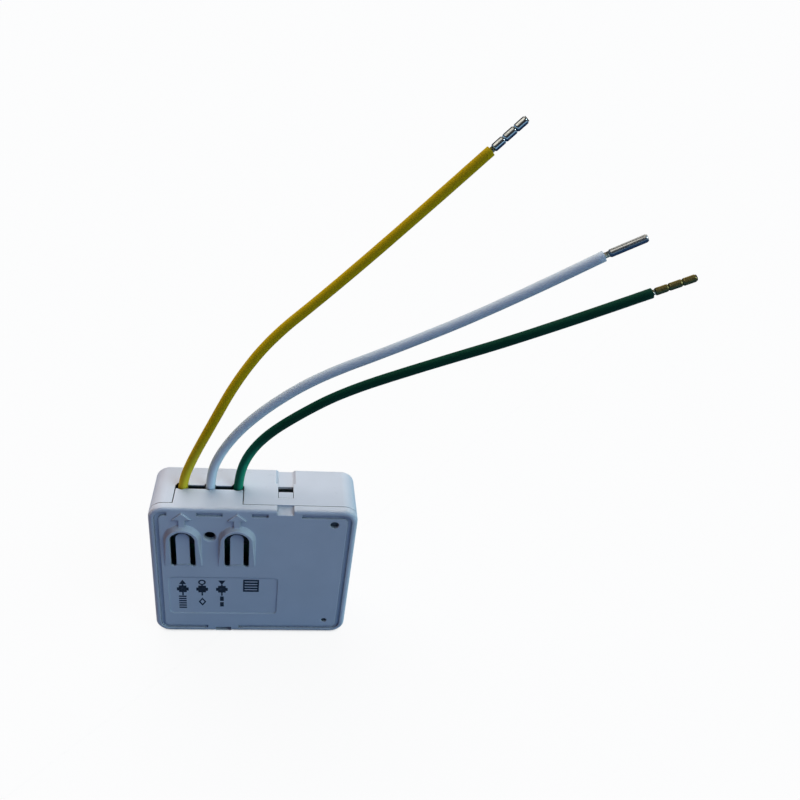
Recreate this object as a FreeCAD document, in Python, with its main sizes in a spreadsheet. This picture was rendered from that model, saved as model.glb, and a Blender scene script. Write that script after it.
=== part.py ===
"""Radio transmitter module for a wall box: a snap-together housing with two push tongues and three leads.

Millimetres, +X to the right, +Z up. The module stands on its lower edge and its front looks towards -Y.
The origin is under the middle of the housing. Two moulded shells hold a board with two push switches, a
pilot light, a coin cell and the radio parts, and three stiff leads come out of the upper side.
"""

import FreeCAD, Part
import math
import os
import re
import Sketcher

Vector = FreeCAD.Vector
Rotation = FreeCAD.Rotation

# Driving sizes: name, value, meaning
SIZES = (
    ("width", 44.0, "housing, left to right"),
    ("height", 39.0, "housing, lower to upper side"),
    ("depth", 13.6, "housing, front face to rear face"),
    ("corner", 3.2, "radius of the four corners seen from the front"),
    ("wall", 1.5, "side walls of the rear shell"),
    ("rear_wall", 1.4, "rear wall of the rear shell"),
    ("cover_depth", 1.7, "thickness of the front cover, which shows as the rim"),
    ("front_round", 0.9, "rounding of the front edge"),
    ("rear_round", 0.8, "rounding of the rear edge"),
    ("lip_depth", 1.6, "how far the cover's lip reaches into the shell"),
    ("lip_wall", 0.8, "thickness of the lip"),
    ("fit_gap", 0.1, "gap between parts that slip into each other"),
    ("bite", 0.5, "how deep a piece is sunk into the one that carries it"),
    ("over", 1.0, "how far a cutting tool runs past what it cuts"),
    ("seam_wide", 0.15, "line between the cover and the shell, width"),
    ("seam_sunk", 0.15, "line between the cover and the shell, depth"),
    ("layout_inset", 12.7, "middle of the light and the buttons, from the left side"),
    ("lead_inset", 12.25, "middle lead, from the left side"),
    ("lead_pitch", 5.9, "from lead to lead"),
    ("lead_thick", 2.0, "diameter of a lead's insulation"),
    ("lead_setback", 7.05, "lead axis behind the front face"),
    ("lead_room", 0.25, "free space round a lead where it leaves the housing"),
    ("lead_inside", 4.2, "insulated stretch below the upper side"),
    ("core_thick", 1.1, "diameter of a lead's bare strands"),
    ("sleeve_thick", 1.5, "diameter of a crimped end"),
    ("sleeve_long", 7.6, "length of a crimped end, yellow and green"),
    ("sleeve_long_white", 6.9, "length of the plain end, white"),
    ("sleeve_edge", 0.15, "bevel on the edges of a crimped end"),
    ("strand_bare", 0.4, "bare strands between insulation and sleeve, yellow and green"),
    ("strand_bare_white", 1.1, "bare strands between insulation and sleeve, white"),
    ("crimp_groove", 0.2, "depth of the grooves between crimped segments"),
    ("tab_seam", 14.4, "width of the cover's tab at the seam"),
    ("tab_end", 14.2, "width of the cover's tab at its end"),
    ("tab_reach", 6.1, "end of the tab behind the front face"),
    ("tab_slot", 1.2, "open slot between the tab and the shell"),
    ("tab_gap", 0.2, "gap beside the tab"),
    ("tab_thick", 1.7, "thickness of the tab"),
    ("latch_side", 6.5, "latches, to the right above and to the left below"),
    ("latch_wide", 3.1, "width of a hook"),
    ("latch_gap", 0.1, "gap round a hook in its window"),
    ("hook_start", 4.0, "barb, its near face behind the front face"),
    ("hook_end", 6.3, "barb, its far face behind the front face"),
    ("hook_arm", 0.9, "thickness of a hook's arm"),
    ("hook_ramp", 0.5, "ramp on the far edge of a barb"),
    ("hook_sunk", 0.05, "barb below the surface of the wall"),
    ("window_end", 8.5, "far end of a window behind the front face"),
    ("channel_floor", 3.2, "width of a tool channel at its floor"),
    ("channel_mouth", 4.3, "width of a tool channel at the surface"),
    ("channel_sunk", 0.9, "depth of a tool channel"),
    ("notch_wide", 3.55, "width of a prising notch in the rim"),
    ("notch_sunk", 1.45, "depth of a prising notch at the front face"),
    ("notch_back", 0.4, "depth of a prising notch at the seam"),
    ("button_pitch", 11.5, "from push tongue to push tongue"),
    ("tongue_wide", 2.9, "width of a push tongue"),
    ("tongue_thick", 1.3, "thickness of a push tongue"),
    ("slot_wide", 1.2, "slot round a push tongue"),
    ("slot_drop", 17.1, "lower end of the slots, below the upper side"),
    ("arch_drop", 8.7, "centre of the slots' arch, below the upper side"),
    ("root_gap", 0.05, "line between a tongue and its root"),
    ("guard_wide", 1.35, "width of a finger guard at the face"),
    ("guard_height", 1.0, "rise of a finger guard over the face"),
    ("guard_slope", 38.0, "slope of a guard's outer flank, degrees"),
    ("guard_foot", 0.3, "ends of a guard below the slots"),
    ("press_drop", 11.0, "point where a tongue presses its switch, below the upper side"),
    ("pip_thick", 1.6, "diameter of the pip under a tongue"),
    ("pip_gap", 0.08, "free play between pip and plunger"),
    ("light_drop", 8.0, "pilot light, below the upper side"),
    ("light_hole", 2.4, "hole in front of the light"),
    ("light_mouth", 2.9, "mouth of that hole"),
    ("shroud_thick", 4.2, "tube round the light behind the cover"),
    ("shroud_reach", 4.05, "end of that tube behind the front face"),
    ("lamp_wide", 2.0, "pilot light, width of its base"),
    ("lamp_high", 1.3, "pilot light, height of its base and diameter of its lens"),
    ("lamp_base", 0.4, "pilot light, thickness of its base"),
    ("lamp_rise", 0.8, "pilot light, whole thickness"),
    ("arrow_drop", 1.3, "tips of the arrows, below the upper side"),
    ("arrow_head", 1.8, "height of an arrow's head"),
    ("arrow_wide", 3.9, "width of an arrow's head"),
    ("arrow_shaft", 1.3, "width of an arrow's shaft"),
    ("arrow_rise", 0.4, "rise of the arrows over the face"),
    ("groove_inset", 1.2, "face groove, outer edge inside the outline"),
    ("groove_wide", 1.0, "width of the face groove"),
    ("groove_sunk", 0.45, "depth of the face groove"),
    ("groove_break", 6.1, "stretch without groove at an arrow"),
    ("groove_break_notch", 7.1, "stretch without groove at a notch"),
    ("dimple_inset", 4.95, "moulding dimples, from the right side"),
    ("dimple_drop", 3.9, "upper dimple, below the upper side"),
    ("dimple_low", 4.3, "lower dimple, above the underside"),
    ("dimple_wide", 1.9, "diameter of the upper dimple"),
    ("dimple_small", 1.3, "diameter of the lower dimple"),
    ("dimple_sunk", 0.7, "depth of the dimples"),
    ("panel_inset", 3.5, "sunk marking panel, from the left side"),
    ("panel_wide", 24.2, "sunk marking panel, width"),
    ("panel_low", 6.4, "sunk marking panel, above the underside"),
    ("panel_high", 12.0, "sunk marking panel, height"),
    ("panel_corner", 1.0, "sunk marking panel, corner radius"),
    ("panel_sunk", 0.15, "depth of the marking panel"),
    ("board_setback", 5.0, "board behind the front face"),
    ("board_thick", 1.0, "thickness of the board"),
    ("board_room", 1.0, "space between the board and the side walls"),
    ("board_end_room", 1.6, "space between the board and the upper and lower walls"),
    ("board_corner", 1.2, "corner radius of the board"),
    ("post_inset", 1.7, "board posts, from the sides of the board"),
    ("post_low", 2.3, "lower board posts, from the edge of the board"),
    ("post_high", 3.6, "upper board posts, from the edge of the board"),
    ("post_thick", 2.8, "diameter of a board post"),
    ("pin_thick", 1.2, "diameter of the pin on a post"),
    ("pin_proud", 0.5, "pin in front of the board"),
    ("bore_roof", 0.3, "floor left in the cover behind a press post's bore"),
    ("hole_room", 0.15, "free space round a pin or a lead in the board"),
    ("comb_drop", 3.8, "lower side of the lead comb, below the upper side"),
    ("comb_thick", 1.0, "thickness of the lead comb"),
    ("comb_room", 0.05, "free space round a lead in the comb"),
    ("comb_shoulder", 1.2, "width of the comb beside the outer leads"),
    ("joint_drop", 1.2, "soldered joints, below the insulation's inner ends"),
    ("joint_thick", 1.9, "diameter of a soldered joint"),
    ("joint_rise", 0.6, "height of a soldered joint"),
    ("joint_tip", 1.4, "diameter of a soldered joint at its tip"),
    ("tail_proud", 0.1, "strands that stand out of a soldered joint"),
    ("switch_wide", 4.5, "push switch, side of its square base"),
    ("switch_base", 1.7, "push switch, height of its base"),
    ("switch_frame", 0.2, "push switch, thickness of its metal frame"),
    ("switch_rise", 2.55, "push switch, whole height"),
    ("lug_wide", 1.2, "push switch, width of the frame's lugs"),
    ("lug_reach", 1.2, "push switch, length of the frame's lugs"),
    ("plunger_thick", 2.0, "diameter of a plunger"),
    ("plunger_flange", 2.8, "diameter of a plunger's flange"),
    ("flange_thick", 0.4, "thickness of a plunger's flange"),
    ("switch_well", 1.0, "depth of the well in a switch base"),
    ("run_gap", 0.06, "free space round a plunger"),
    ("cell_rise", 3.9, "coin cell, above the lower edge of the board"),
    ("cell_thick", 20.0, "coin cell, diameter"),
    ("cell_high", 3.2, "coin cell, thickness"),
    ("cell_skin", 0.25, "coin cell, thickness of the can"),
    ("gasket_wide", 1.05, "coin cell, width of the gasket between cap and can"),
    ("gasket_sunk", 0.12, "coin cell, gasket below the cap's face"),
    ("contact_rise", 0.35, "battery contact over the board"),
    ("contact_thick", 6.0, "diameter of the battery contact"),
    ("contact_foot", 4.2, "diameter at the foot of the contact's dome"),
    ("contact_tip", 2.1, "diameter at the top of the contact's dome"),
    ("clip_sheet", 0.3, "thickness of the battery clip"),
    ("clip_wide", 6.0, "width of the battery clip"),
    ("clip_gap", 0.2, "gap between the clip's legs and the cell"),
    ("clip_foot", 1.4, "length of the clip's feet"),
    ("clip_inset", 0.1, "the clip's right foot, from the side of the board"),
    ("chip_rise", 0.9, "height of the chips"),
    ("chip_wide", 5.0, "side of the controller"),
    ("radio_wide", 4.0, "side of the radio chip"),
    ("chip_inset", 5.5, "middle of the chips, from the left side of the board"),
    ("chip_drop", 10.9, "middle of the controller, from the upper edge of the board"),
    ("crystal_wide", 3.2, "crystal, width"),
    ("crystal_high", 1.6, "crystal, height"),
    ("part_gap", 0.7, "space between board parts"),
    ("part_pitch", 3.0, "from small part to small part beside a chip"),
    ("part_long", 1.6, "small board parts, length"),
    ("part_wide", 0.8, "small board parts, width"),
    ("capacitor_rise", 0.8, "capacitors, height"),
    ("resistor_rise", 0.45, "resistors, height"),
    ("trace_wide", 0.6, "width of the aerial's copper"),
    ("trace_thick", 0.1, "thickness of the aerial's copper"),
    ("trace_pitch", 1.7, "from run to run of the aerial"),
    ("trace_gap", 2.4, "space between the aerial and the radio chip"),
)

# Count of the aerial's upright runs
TRACE_RUNS = 7

# Planes of the housing, counted from the middle between the guards' crests and the rear face
FRONT = "(guard_height - depth) / 2"
REAR = "(guard_height + depth) / 2"
SEAM = f"({FRONT} + cover_depth)"
BOARD_FRONT = f"({FRONT} + board_setback)"
BOARD_REAR = f"({FRONT} + board_setback + board_thick)"
LEAD_Y = f"({FRONT} + lead_setback)"

# Places, counted from the housing's middle and its underside
LAYOUT = "(layout_inset - width / 2)"
LEAD_X = "(lead_inset - width / 2)"
SLOT_LOW = "(height - slot_drop)"
ROOT = f"({SLOT_LOW} + slot_wide / 2)"
ARCH = "(height - arch_drop)"
PRESS = "(height - press_drop)"
LIGHT = "(height - light_drop)"
JOINT = "(height - lead_inside - joint_drop)"
BOARD_HALF = "(width / 2 - wall - board_room)"
BOARD_LOW = "(wall + board_end_room)"
BOARD_HIGH = "(height - wall - board_end_room)"
CELL_X = f"({BOARD_HALF} - clip_inset - clip_foot - clip_sheet - clip_gap - cell_thick / 2)"
CELL_Z = f"({BOARD_LOW} + cell_rise + cell_thick / 2)"
CHIP_X = f"(chip_inset - {BOARD_HALF})"
CHIP_Z = f"({BOARD_HIGH} - chip_drop)"
CRYSTAL_Z = f"({CHIP_Z} - chip_wide / 2 - part_gap - crystal_high / 2)"
RADIO_Z = f"({CRYSTAL_Z} - crystal_high / 2 - part_gap - radio_wide / 2)"
SWITCH_TIP = f"({BOARD_FRONT} - switch_rise)"
CELL_NEAR = f"({BOARD_REAR} + contact_rise)"
CELL_FAR = f"({CELL_NEAR} + cell_high)"
BUTTONS = {"left": f"({LAYOUT} - button_pitch / 2)", "right": f"({LAYOUT} + button_pitch / 2)"}
LEADS = {"yellow": f"({LEAD_X} - lead_pitch)", "white": LEAD_X, "green": f"({LEAD_X} + lead_pitch)"}
CORNERS = [
    (side, level)
    for side in (f"(post_inset - {BOARD_HALF})", f"({BOARD_HALF} - post_inset)")
    for level in (f"({BOARD_LOW} + post_low)", f"({BOARD_HIGH} - post_high)")
]

# The leads' routes, chosen by hand along the real ones: x, y, z of each point, counted from the middle of
# the lead's exit in the upper side. Each route starts at the insulation's inner end, straight below its exit.
ROUTES = {
    "yellow": ((0, 0, 0.6), (2.25, 0.05, 7.1), (6.45, 0.65, 16.0), (11.25, 2.05, 25.8),
               (17.65, 3.65, 34.8), (27.25, 4.35, 44.0), (40.85, 5.35, 58.0), (54.05, 6.55, 72.1)),
    "white": ((0, 0, 0.5), (1.05, -0.25, 7.0), (5.55, 0.35, 14.4), (12.25, 0.75, 21.3),
              (21.55, 0.35, 28.7), (35.15, -1.15, 36.5), (52.35, -2.95, 47.1), (68.55, -4.25, 58.6)),
    "green": ((0, 0, 0.5), (1.15, 0.65, 6.7), (4.95, 1.65, 12.2), (11.45, 2.35, 17.4),
              (20.85, 2.45, 23.9), (35.85, 1.45, 31.3), (56.35, -0.05, 40.8), (75.65, -0.95, 50.8)),
}
ARC_SHARE = 0.45

doc = FreeCAD.newDocument("radio_transmitter")
sheet = doc.addObject("Spreadsheet::Sheet", "dims")
for row, (alias, size, meaning) in enumerate(SIZES, start=1):
    sheet.set(f"A{row}", alias)
    sheet.set(f"B{row}", str(size))
    sheet.set(f"C{row}", meaning)
    sheet.setAlias(f"B{row}", alias)
doc.recompute()
ALIASES = {alias for alias, _, _ in SIZES}
nodes = {}


def bound(text):
    """Returns a formula in the sheet's names as an expression of the document."""
    return re.sub(r"[a-z_]+", lambda word: f"dims.{word[0]}" if word[0] in ALIASES else word[0], text)


def number(text):
    """Returns the present value of a formula in the sheet's names."""
    return float(sheet.evalExpression(bound(text)))


def bind(thing, **formulas):
    """Binds an object's properties to formulas; a double underscore stands for a dot."""
    for prop, text in formulas.items():
        thing.setExpression(prop.replace("__", "."), bound(text))
    return thing


def place(thing, x, y, z):
    """Binds the place of an object."""
    return bind(thing, Placement__Base__x=x, Placement__Base__y=y, Placement__Base__z=z)


def box(name, x, y, z):
    """A block between three pairs of formulas."""
    thing = doc.addObject("Part::Box", name)
    bind(thing, Length=f"({x[1]}) - ({x[0]})", Width=f"({y[1]}) - ({y[0]})", Height=f"({z[1]}) - ({z[0]})")
    return place(thing, x[0], y[0], z[0])


AXES = {"Z": Rotation(), "Y": Rotation(Vector(1, 0, 0), -90), "-Y": Rotation(Vector(1, 0, 0), 90)}


def rod(name, thick, start, length, axis="Z"):
    """A cylinder of a diameter, from a point, along an axis."""
    thing = doc.addObject("Part::Cylinder", name)
    thing.Placement = FreeCAD.Placement(Vector(), AXES[axis])
    bind(thing, Radius=f"({thick}) / 2", Height=length)
    return place(thing, *start)


def taper(name, thick, thick_end, start, length, axis="Z"):
    """A cone between two diameters, from a point, along an axis."""
    thing = doc.addObject("Part::Cone", name)
    thing.Placement = FreeCAD.Placement(Vector(), AXES[axis])
    bind(thing, Radius1=f"({thick}) / 2", Radius2=f"({thick_end}) / 2", Height=length)
    return place(thing, *start)


def fuse(name, *pieces):
    """One solid, or one group of solids, of several pieces."""
    thing = doc.addObject("Part::MultiFuse", name)
    thing.Shapes = list(pieces)
    return thing


def cut(name, base, *tools):
    """A base with one or more tools taken away."""
    thing = doc.addObject("Part::Cut", name)
    thing.Base = base
    thing.Tool = tools[0] if len(tools) == 1 else fuse(f"{name}_tools", *tools)
    return thing


def common(name, one, other):
    """What two solids share."""
    thing = doc.addObject("Part::Common", name)
    thing.Base = one
    thing.Tool = other
    return thing


def node(name, thing):
    """Names the finished sub-part."""
    thing.Label = name
    nodes[name] = thing
    return thing


# Sketch planes: the face is seen from the front, the side from the right, the top from above
PLANES = {
    "face": (Rotation(Vector(1, 0, 0), 90), "y"),
    "side": (Rotation(Vector(0, 1, 0), Vector(0, 0, 1), Vector(1, 0, 0), "ZXY"), "x"),
    "top": (Rotation(), "z"),
}


def sketch_on(name, plane, level):
    """An empty sketch on a plane at a level."""
    rotation, letter = PLANES[plane]
    sketch = doc.addObject("Sketcher::SketchObject", name)
    sketch.Placement = FreeCAD.Placement(Vector(), rotation)
    return bind(sketch, **{f"Placement__Base__{letter}": level})


def pin_point(sketch, line, end, x, y):
    """Fixes a point of a sketch by two formulas."""
    for kind, text in (("DistanceX", x), ("DistanceY", y)):
        index = sketch.addConstraint(Sketcher.Constraint(kind, -1, 1, line, end, number(text)))
        sketch.setExpression(f"Constraints[{index}]", bound(text))


def outline(sketch, corners):
    """Draws a closed outline of straight lines through corners given as formulas."""
    points = [Vector(number(x), number(y), 0) for x, y in corners]
    count = len(points)
    for i in range(count):
        sketch.addGeometry(Part.LineSegment(points[i], points[(i + 1) % count]), False)
    for i, (x, y) in enumerate(corners):
        sketch.addConstraint(Sketcher.Constraint("Coincident", i, 2, (i + 1) % count, 1))
        pin_point(sketch, i, 1, x, y)
    return sketch


def arc_at(sketch, x, y, radius, start, end):
    """Draws an arc about a pinned centre and returns its index."""
    circle = Part.Circle(Vector(number(x), number(y), 0), Vector(0, 0, 1), number(radius))
    arc = sketch.addGeometry(Part.ArcOfCircle(circle, math.radians(start), math.radians(end)), False)
    index = sketch.addConstraint(Sketcher.Constraint("Radius", arc, number(radius)))
    sketch.setExpression(f"Constraints[{index}]", bound(radius))
    pin_point(sketch, arc, 3, x, y)
    return arc


def rounded_outline(sketch, left, right, low, high, radius):
    """Draws a rectangle with four equal round corners."""
    x0, x1, y0, y1, r = (number(text) for text in (left, right, low, high, radius))
    near, far = f"({left}) + ({radius})", f"({right}) - ({radius})"
    below, above = f"({low}) + ({radius})", f"({high}) - ({radius})"
    arcs = [
        arc_at(sketch, far, above, radius, 0, 90),
        arc_at(sketch, near, above, radius, 90, 180),
        arc_at(sketch, near, below, radius, 180, 270),
        arc_at(sketch, far, below, radius, 270, 360),
    ]
    ends = [
        ((x1 - r, y1), (x0 + r, y1)),
        ((x0, y1 - r), (x0, y0 + r)),
        ((x0 + r, y0), (x1 - r, y0)),
        ((x1, y0 + r), (x1, y1 - r)),
    ]
    for i, (start, end) in enumerate(ends):
        line = sketch.addGeometry(Part.LineSegment(Vector(*start, 0), Vector(*end, 0)), False)
        sketch.addConstraint(Sketcher.Constraint("Tangent", arcs[i], 2, line, 1))
        sketch.addConstraint(Sketcher.Constraint("Tangent", line, 2, arcs[(i + 1) % 4], 1))
    return sketch


def arch_outline(sketch, middle, low, level, radius):
    """Draws an upright arch: a half circle about a level, on two legs."""
    x, y0, y1, r = (number(text) for text in (middle, low, level, radius))
    arc = arc_at(sketch, middle, level, radius, 0, 180)
    left = sketch.addGeometry(Part.LineSegment(Vector(x - r, y1, 0), Vector(x - r, y0, 0)), False)
    foot = sketch.addGeometry(Part.LineSegment(Vector(x - r, y0, 0), Vector(x + r, y0, 0)), False)
    right = sketch.addGeometry(Part.LineSegment(Vector(x + r, y0, 0), Vector(x + r, y1, 0)), False)
    sketch.addConstraint(Sketcher.Constraint("Tangent", arc, 2, left, 1))
    sketch.addConstraint(Sketcher.Constraint("Tangent", right, 2, arc, 1))
    sketch.addConstraint(Sketcher.Constraint("Coincident", left, 2, foot, 1))
    sketch.addConstraint(Sketcher.Constraint("Coincident", foot, 2, right, 1))
    sketch.addConstraint(Sketcher.Constraint("Vertical", left))
    sketch.addConstraint(Sketcher.Constraint("Vertical", right))
    sketch.addConstraint(Sketcher.Constraint("Horizontal", foot))
    index = sketch.addConstraint(Sketcher.Constraint("DistanceY", -1, 1, foot, 1, y0))
    sketch.setExpression(f"Constraints[{index}]", bound(low))
    return sketch


def extrude(name, sketch, length, slope=None):
    """Extrudes a sketch along its normal: the face's normal looks forwards, to -Y."""
    thing = doc.addObject("Part::Extrusion", name)
    thing.Base = sketch
    thing.DirMode = "Normal"
    thing.Solid = True
    bind(thing, LengthFwd=length)
    if slope:
        bind(thing, TaperAngle=slope)
    return thing


def slab(name, plane, level, length, corners):
    """An extruded outline of straight lines."""
    return extrude(name, outline(sketch_on(f"{name}_sketch", plane, level), corners), length)


def rounded_slab(name, rear, front, inset, corner):
    """A block with the housing's outline, shrunk by an inset, between two levels of depth."""
    sketch = rounded_outline(sketch_on(f"{name}_sketch", "face", rear), f"({inset}) - width / 2",
                             f"width / 2 - ({inset})", inset, f"height - ({inset})", corner)
    return extrude(name, sketch, f"({rear}) - ({front})")


def sketch_in(body, name, level):
    """An empty sketch in a body, on its front plane, at a level of depth."""
    sketch = body.newObject("Sketcher::SketchObject", name)
    plane = next(item for item in body.Origin.OriginFeatures if item.Role == "XZ_Plane")
    sketch.AttachmentSupport = (plane, "")
    sketch.MapMode = "FlatFace"
    return bind(sketch, AttachmentOffset__Base__z=f"-({level})")


def moulded_blank(name, rear, front, rounded_level, radius):
    """A padded block with the housing's outline and one edge rounded all the way round."""
    body = doc.addObject("PartDesign::Body", name)
    pad = body.newObject("PartDesign::Pad", f"{name}_pad")
    sketch = sketch_in(body, f"{name}_outline", rear)
    pad.Profile = rounded_outline(sketch, "-width / 2", "width / 2", "0", "height", "corner")
    bind(pad, Length=f"({rear}) - ({front})")
    doc.recompute()
    level = number(rounded_level)
    edges = [
        f"Edge{i}" for i, edge in enumerate(pad.Shape.Edges, start=1)
        if abs(edge.BoundBox.YMin - level) < 1e-6 and abs(edge.BoundBox.YMax - level) < 1e-6
    ]
    fillet = body.newObject("PartDesign::Fillet", f"{name}_round")
    fillet.Base = (pad, edges)
    bind(fillet, Radius=radius)
    body.Tip = fillet
    return body


def tab_outline(name, margin, seam_level, end_level, low, length):
    """The tapered plan of the cover's tab, widened by a margin."""
    wide, narrow = f"(tab_seam / 2 + {margin})", f"(tab_end / 2 + {margin})"
    corners = [
        (f"{LEAD_X} - {wide}", seam_level), (f"{LEAD_X} + {wide}", seam_level),
        (f"{LEAD_X} + {narrow}", end_level), (f"{LEAD_X} - {narrow}", end_level),
    ]
    return slab(name, "top", low, length, corners)


def mirrored_levels(low, high, top):
    """A pair of heights as they are on the upper side, or turned over for the lower side."""
    return (low, high) if top else (f"height - ({high})", f"height - ({low})")


LATCHES = (("top", "latch_side", True), ("bottom", "-latch_side", False))


def make_rear_shell():
    """The rear half of the housing, with tool channels, windows, lead slot, posts and lead comb."""
    blank = moulded_blank("shell_blank", REAR, SEAM, REAR, "rear_round")
    floor = f"({REAR} - rear_wall)"
    tools = [
        rounded_slab("shell_cavity", floor, f"{SEAM} - over", "wall", "corner - wall"),
        tab_outline("tab_room", "tab_gap", f"{SEAM} - over", f"{FRONT} + tab_reach + tab_slot",
                    "height - wall - over", "wall + 2 * over"),
    ]
    tools += [lead_exit(f"{name}_exit", x) for name, x in LEADS.items()]
    for latch in LATCHES:
        tools += [make_window(*latch), make_channel(*latch)]
    pieces = [cut("shell_hollow", blank, *tools), make_comb(floor)]
    for i, (x, z) in enumerate(CORNERS):
        length = f"{floor} - {BOARD_REAR} + bite"
        pieces.append(rod(f"post_{i}", "post_thick", (x, BOARD_REAR, z), length, "Y"))
        pieces.append(rod(f"post_pin_{i}", "pin_thick", (x, f"{BOARD_FRONT} - pin_proud", z),
                          "board_thick + pin_proud + bite", "Y"))
    return node("rear_shell", fuse("rear_shell", *pieces))


def lead_exit(name, x):
    """The round opening in the upper side that a lead comes through."""
    return rod(name, "lead_thick + 2 * lead_room", (x, LEAD_Y, "height - wall - over"), "wall + 2 * over")


def make_window(name, x, top):
    """The window in a side wall that a hook snaps into."""
    half = "(latch_wide / 2 + latch_gap)"
    levels = mirrored_levels("height - wall - over", "height + over", top)
    return box(f"{name}_window", (f"{x} - {half}", f"{x} + {half}"),
               (f"{FRONT} + hook_start - latch_gap", f"{FRONT} + window_end"), levels)


def make_channel(name, x, top):
    """The tool channel with slanted sides, from a window to the rear edge."""
    deep, clear = ("height - channel_sunk", "height + over") if top else ("channel_sunk", "-over")
    flare = "((channel_mouth - channel_floor) / (2 * channel_sunk))"
    mouth = f"(channel_mouth / 2 + {flare} * over)"
    level = f"{REAR} + over"
    return slab(f"{name}_channel", "face", level, f"{level} - ({FRONT} + window_end)", [
        (f"{x} - channel_floor / 2", deep), (f"{x} + channel_floor / 2", deep),
        (f"{x} + {mouth}", clear), (f"{x} - {mouth}", clear),
    ])


def make_comb(floor):
    """The comb that holds the leads behind the board."""
    reach = "(lead_pitch + lead_thick / 2 + comb_shoulder)"
    low = "(height - comb_drop)"
    comb = box("comb_bar", (f"{LEAD_X} - {reach}", f"{LEAD_X} + {reach}"),
               (f"{LEAD_Y} - lead_thick / 2", f"{floor} + bite"), (low, f"{low} + comb_thick"))
    tools = []
    half = "(lead_thick / 2 + comb_room)"
    below, length = f"{low} - over", "comb_thick + 2 * over"
    for name, x in LEADS.items():
        tools.append(rod(f"{name}_comb", f"2 * {half}", (x, LEAD_Y, below), length))
        tools.append(box(f"{name}_comb_mouth", (f"{x} - {half}", f"{x} + {half}"),
                         (f"{LEAD_Y} - lead_thick", LEAD_Y), (below, f"{below} + {length}")))
    return cut("comb", comb, *tools)


def make_hook(name, x, top):
    """A hook of the cover: an arm inside the wall and a barb that fills the front of its window."""
    inner, outer = "wall + fit_gap", "hook_sunk"
    if top:
        inner, outer = f"height - {inner.replace('+', '-')}", f"height - {outer}"
    away = "-" if top else "+"
    near, far = f"{FRONT} + hook_start", f"{FRONT} + hook_end"
    return slab(f"{name}_hook", "side", f"{x} - latch_wide / 2", "latch_wide", [
        (f"{SEAM} - bite", f"{inner} {away} hook_arm"), (far, f"{inner} {away} hook_arm"),
        (far, f"{outer} {away} hook_ramp"), (f"{far} - hook_ramp", outer), (near, outer), (near, inner),
        (f"{SEAM} - bite", inner),
    ])


def make_guard(side, x):
    """A horseshoe finger guard that rises from its leg ends to its arch."""
    radius = "(tongue_wide / 2 + slot_wide + guard_wide)"
    foot = f"{SLOT_LOW} - guard_foot"
    base, crest = f"{FRONT} + bite", f"{FRONT} - guard_height"
    sketch = sketch_on(f"{side}_guard_sketch", "face", base)
    arch_outline(sketch, x, foot, ARCH, f"({radius} + bite * tan(guard_slope))")
    raised = extrude(f"{side}_guard_block", sketch, "guard_height + bite", "-guard_slope")
    wedge = slab(f"{side}_guard_wedge", "side", f"{x} - {radius}", f"2 * {radius}", [
        (base, foot), (base, f"{ARCH} + {radius}"), (crest, f"{ARCH} + {radius}"),
        (crest, f"{ARCH} + {radius} / 2"), (FRONT, foot),
    ])
    return common(f"{side}_guard", raised, wedge)


def make_arrow(side, x):
    """A raised arrow that points from a guard to the upper side."""
    tip = "height - arrow_drop"
    neck = f"{tip} - arrow_head"
    tail = f"{ARCH} + tongue_wide / 2 + slot_wide + bite"
    return slab(f"{side}_arrow", "face", f"{FRONT} + bite", "arrow_rise + bite", [
        (f"{x} - arrow_shaft / 2", tail), (f"{x} + arrow_shaft / 2", tail),
        (f"{x} + arrow_shaft / 2", neck), (f"{x} + arrow_wide / 2", neck), (x, tip),
        (f"{x} - arrow_wide / 2", neck), (f"{x} - arrow_shaft / 2", neck),
    ])


def make_slot(side, x):
    """The opening round a push tongue, with round slot ends beside the tongue's root."""
    radius = "(tongue_wide / 2 + slot_wide)"
    length = "cover_depth + guard_height + 2 * over"
    level = f"{SEAM} + over"
    sketch = arch_outline(sketch_on(f"{side}_slot_sketch", "face", level), x, ROOT, ARCH, radius)
    pieces = [extrude(f"{side}_slot_arch", sketch, length)]
    for end, sign in (("a", "-"), ("b", "+")):
        middle = f"{x} {sign} (tongue_wide + slot_wide) / 2"
        pieces.append(rod(f"{side}_slot_end_{end}", "slot_wide", (middle, level, ROOT), length, "-Y"))
    return fuse(f"{side}_slot", *pieces)


def make_face_groove():
    """The shallow groove that runs round the face and stops at the arrows and the notches."""
    level = f"{FRONT} + groove_sunk"
    inset, inner = "groove_inset", "groove_inset + groove_wide"
    front = f"{FRONT} - over"
    outside = rounded_slab("groove_outer", level, front, inset, f"corner - {inset}")
    inside = rounded_slab("groove_inner", f"{level} + over", f"{front} - over", inner, f"corner - ({inner})")
    ring = cut("groove_ring", outside, inside)
    breaks = [(x, "groove_break", "height / 2", "height") for x in BUTTONS.values()]
    breaks.append(("latch_side", "groove_break_notch", "height / 2", "height"))
    breaks.append(("-latch_side", "groove_break_notch", "0", "height / 2"))
    span = (f"{FRONT} - 3 * over", SEAM)
    stops = [
        box(f"groove_stop_{i}", (f"{x} - {wide} / 2", f"{x} + {wide} / 2"), span, (low, high))
        for i, (x, wide, low, high) in enumerate(breaks)
    ]
    return cut("face_groove", ring, *stops)


def make_seam_line():
    """The fine line round the housing between cover and shell, which stops at the tab."""
    rear, front = SEAM, f"({SEAM} - seam_wide)"
    outside = rounded_slab("seam_outer", rear, front, "-over", "corner + over")
    inside = rounded_slab("seam_inner", f"{rear} + over", f"{front} - over", "seam_sunk",
                          "corner - seam_sunk")
    stop = box("seam_stop", (f"{LEAD_X} - tab_seam / 2", f"{LEAD_X} + tab_seam / 2"),
               (f"{front} - over", f"{rear} + over"), ("height / 2", "height + 2 * over"))
    return cut("seam_line", outside, inside, stop)


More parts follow.
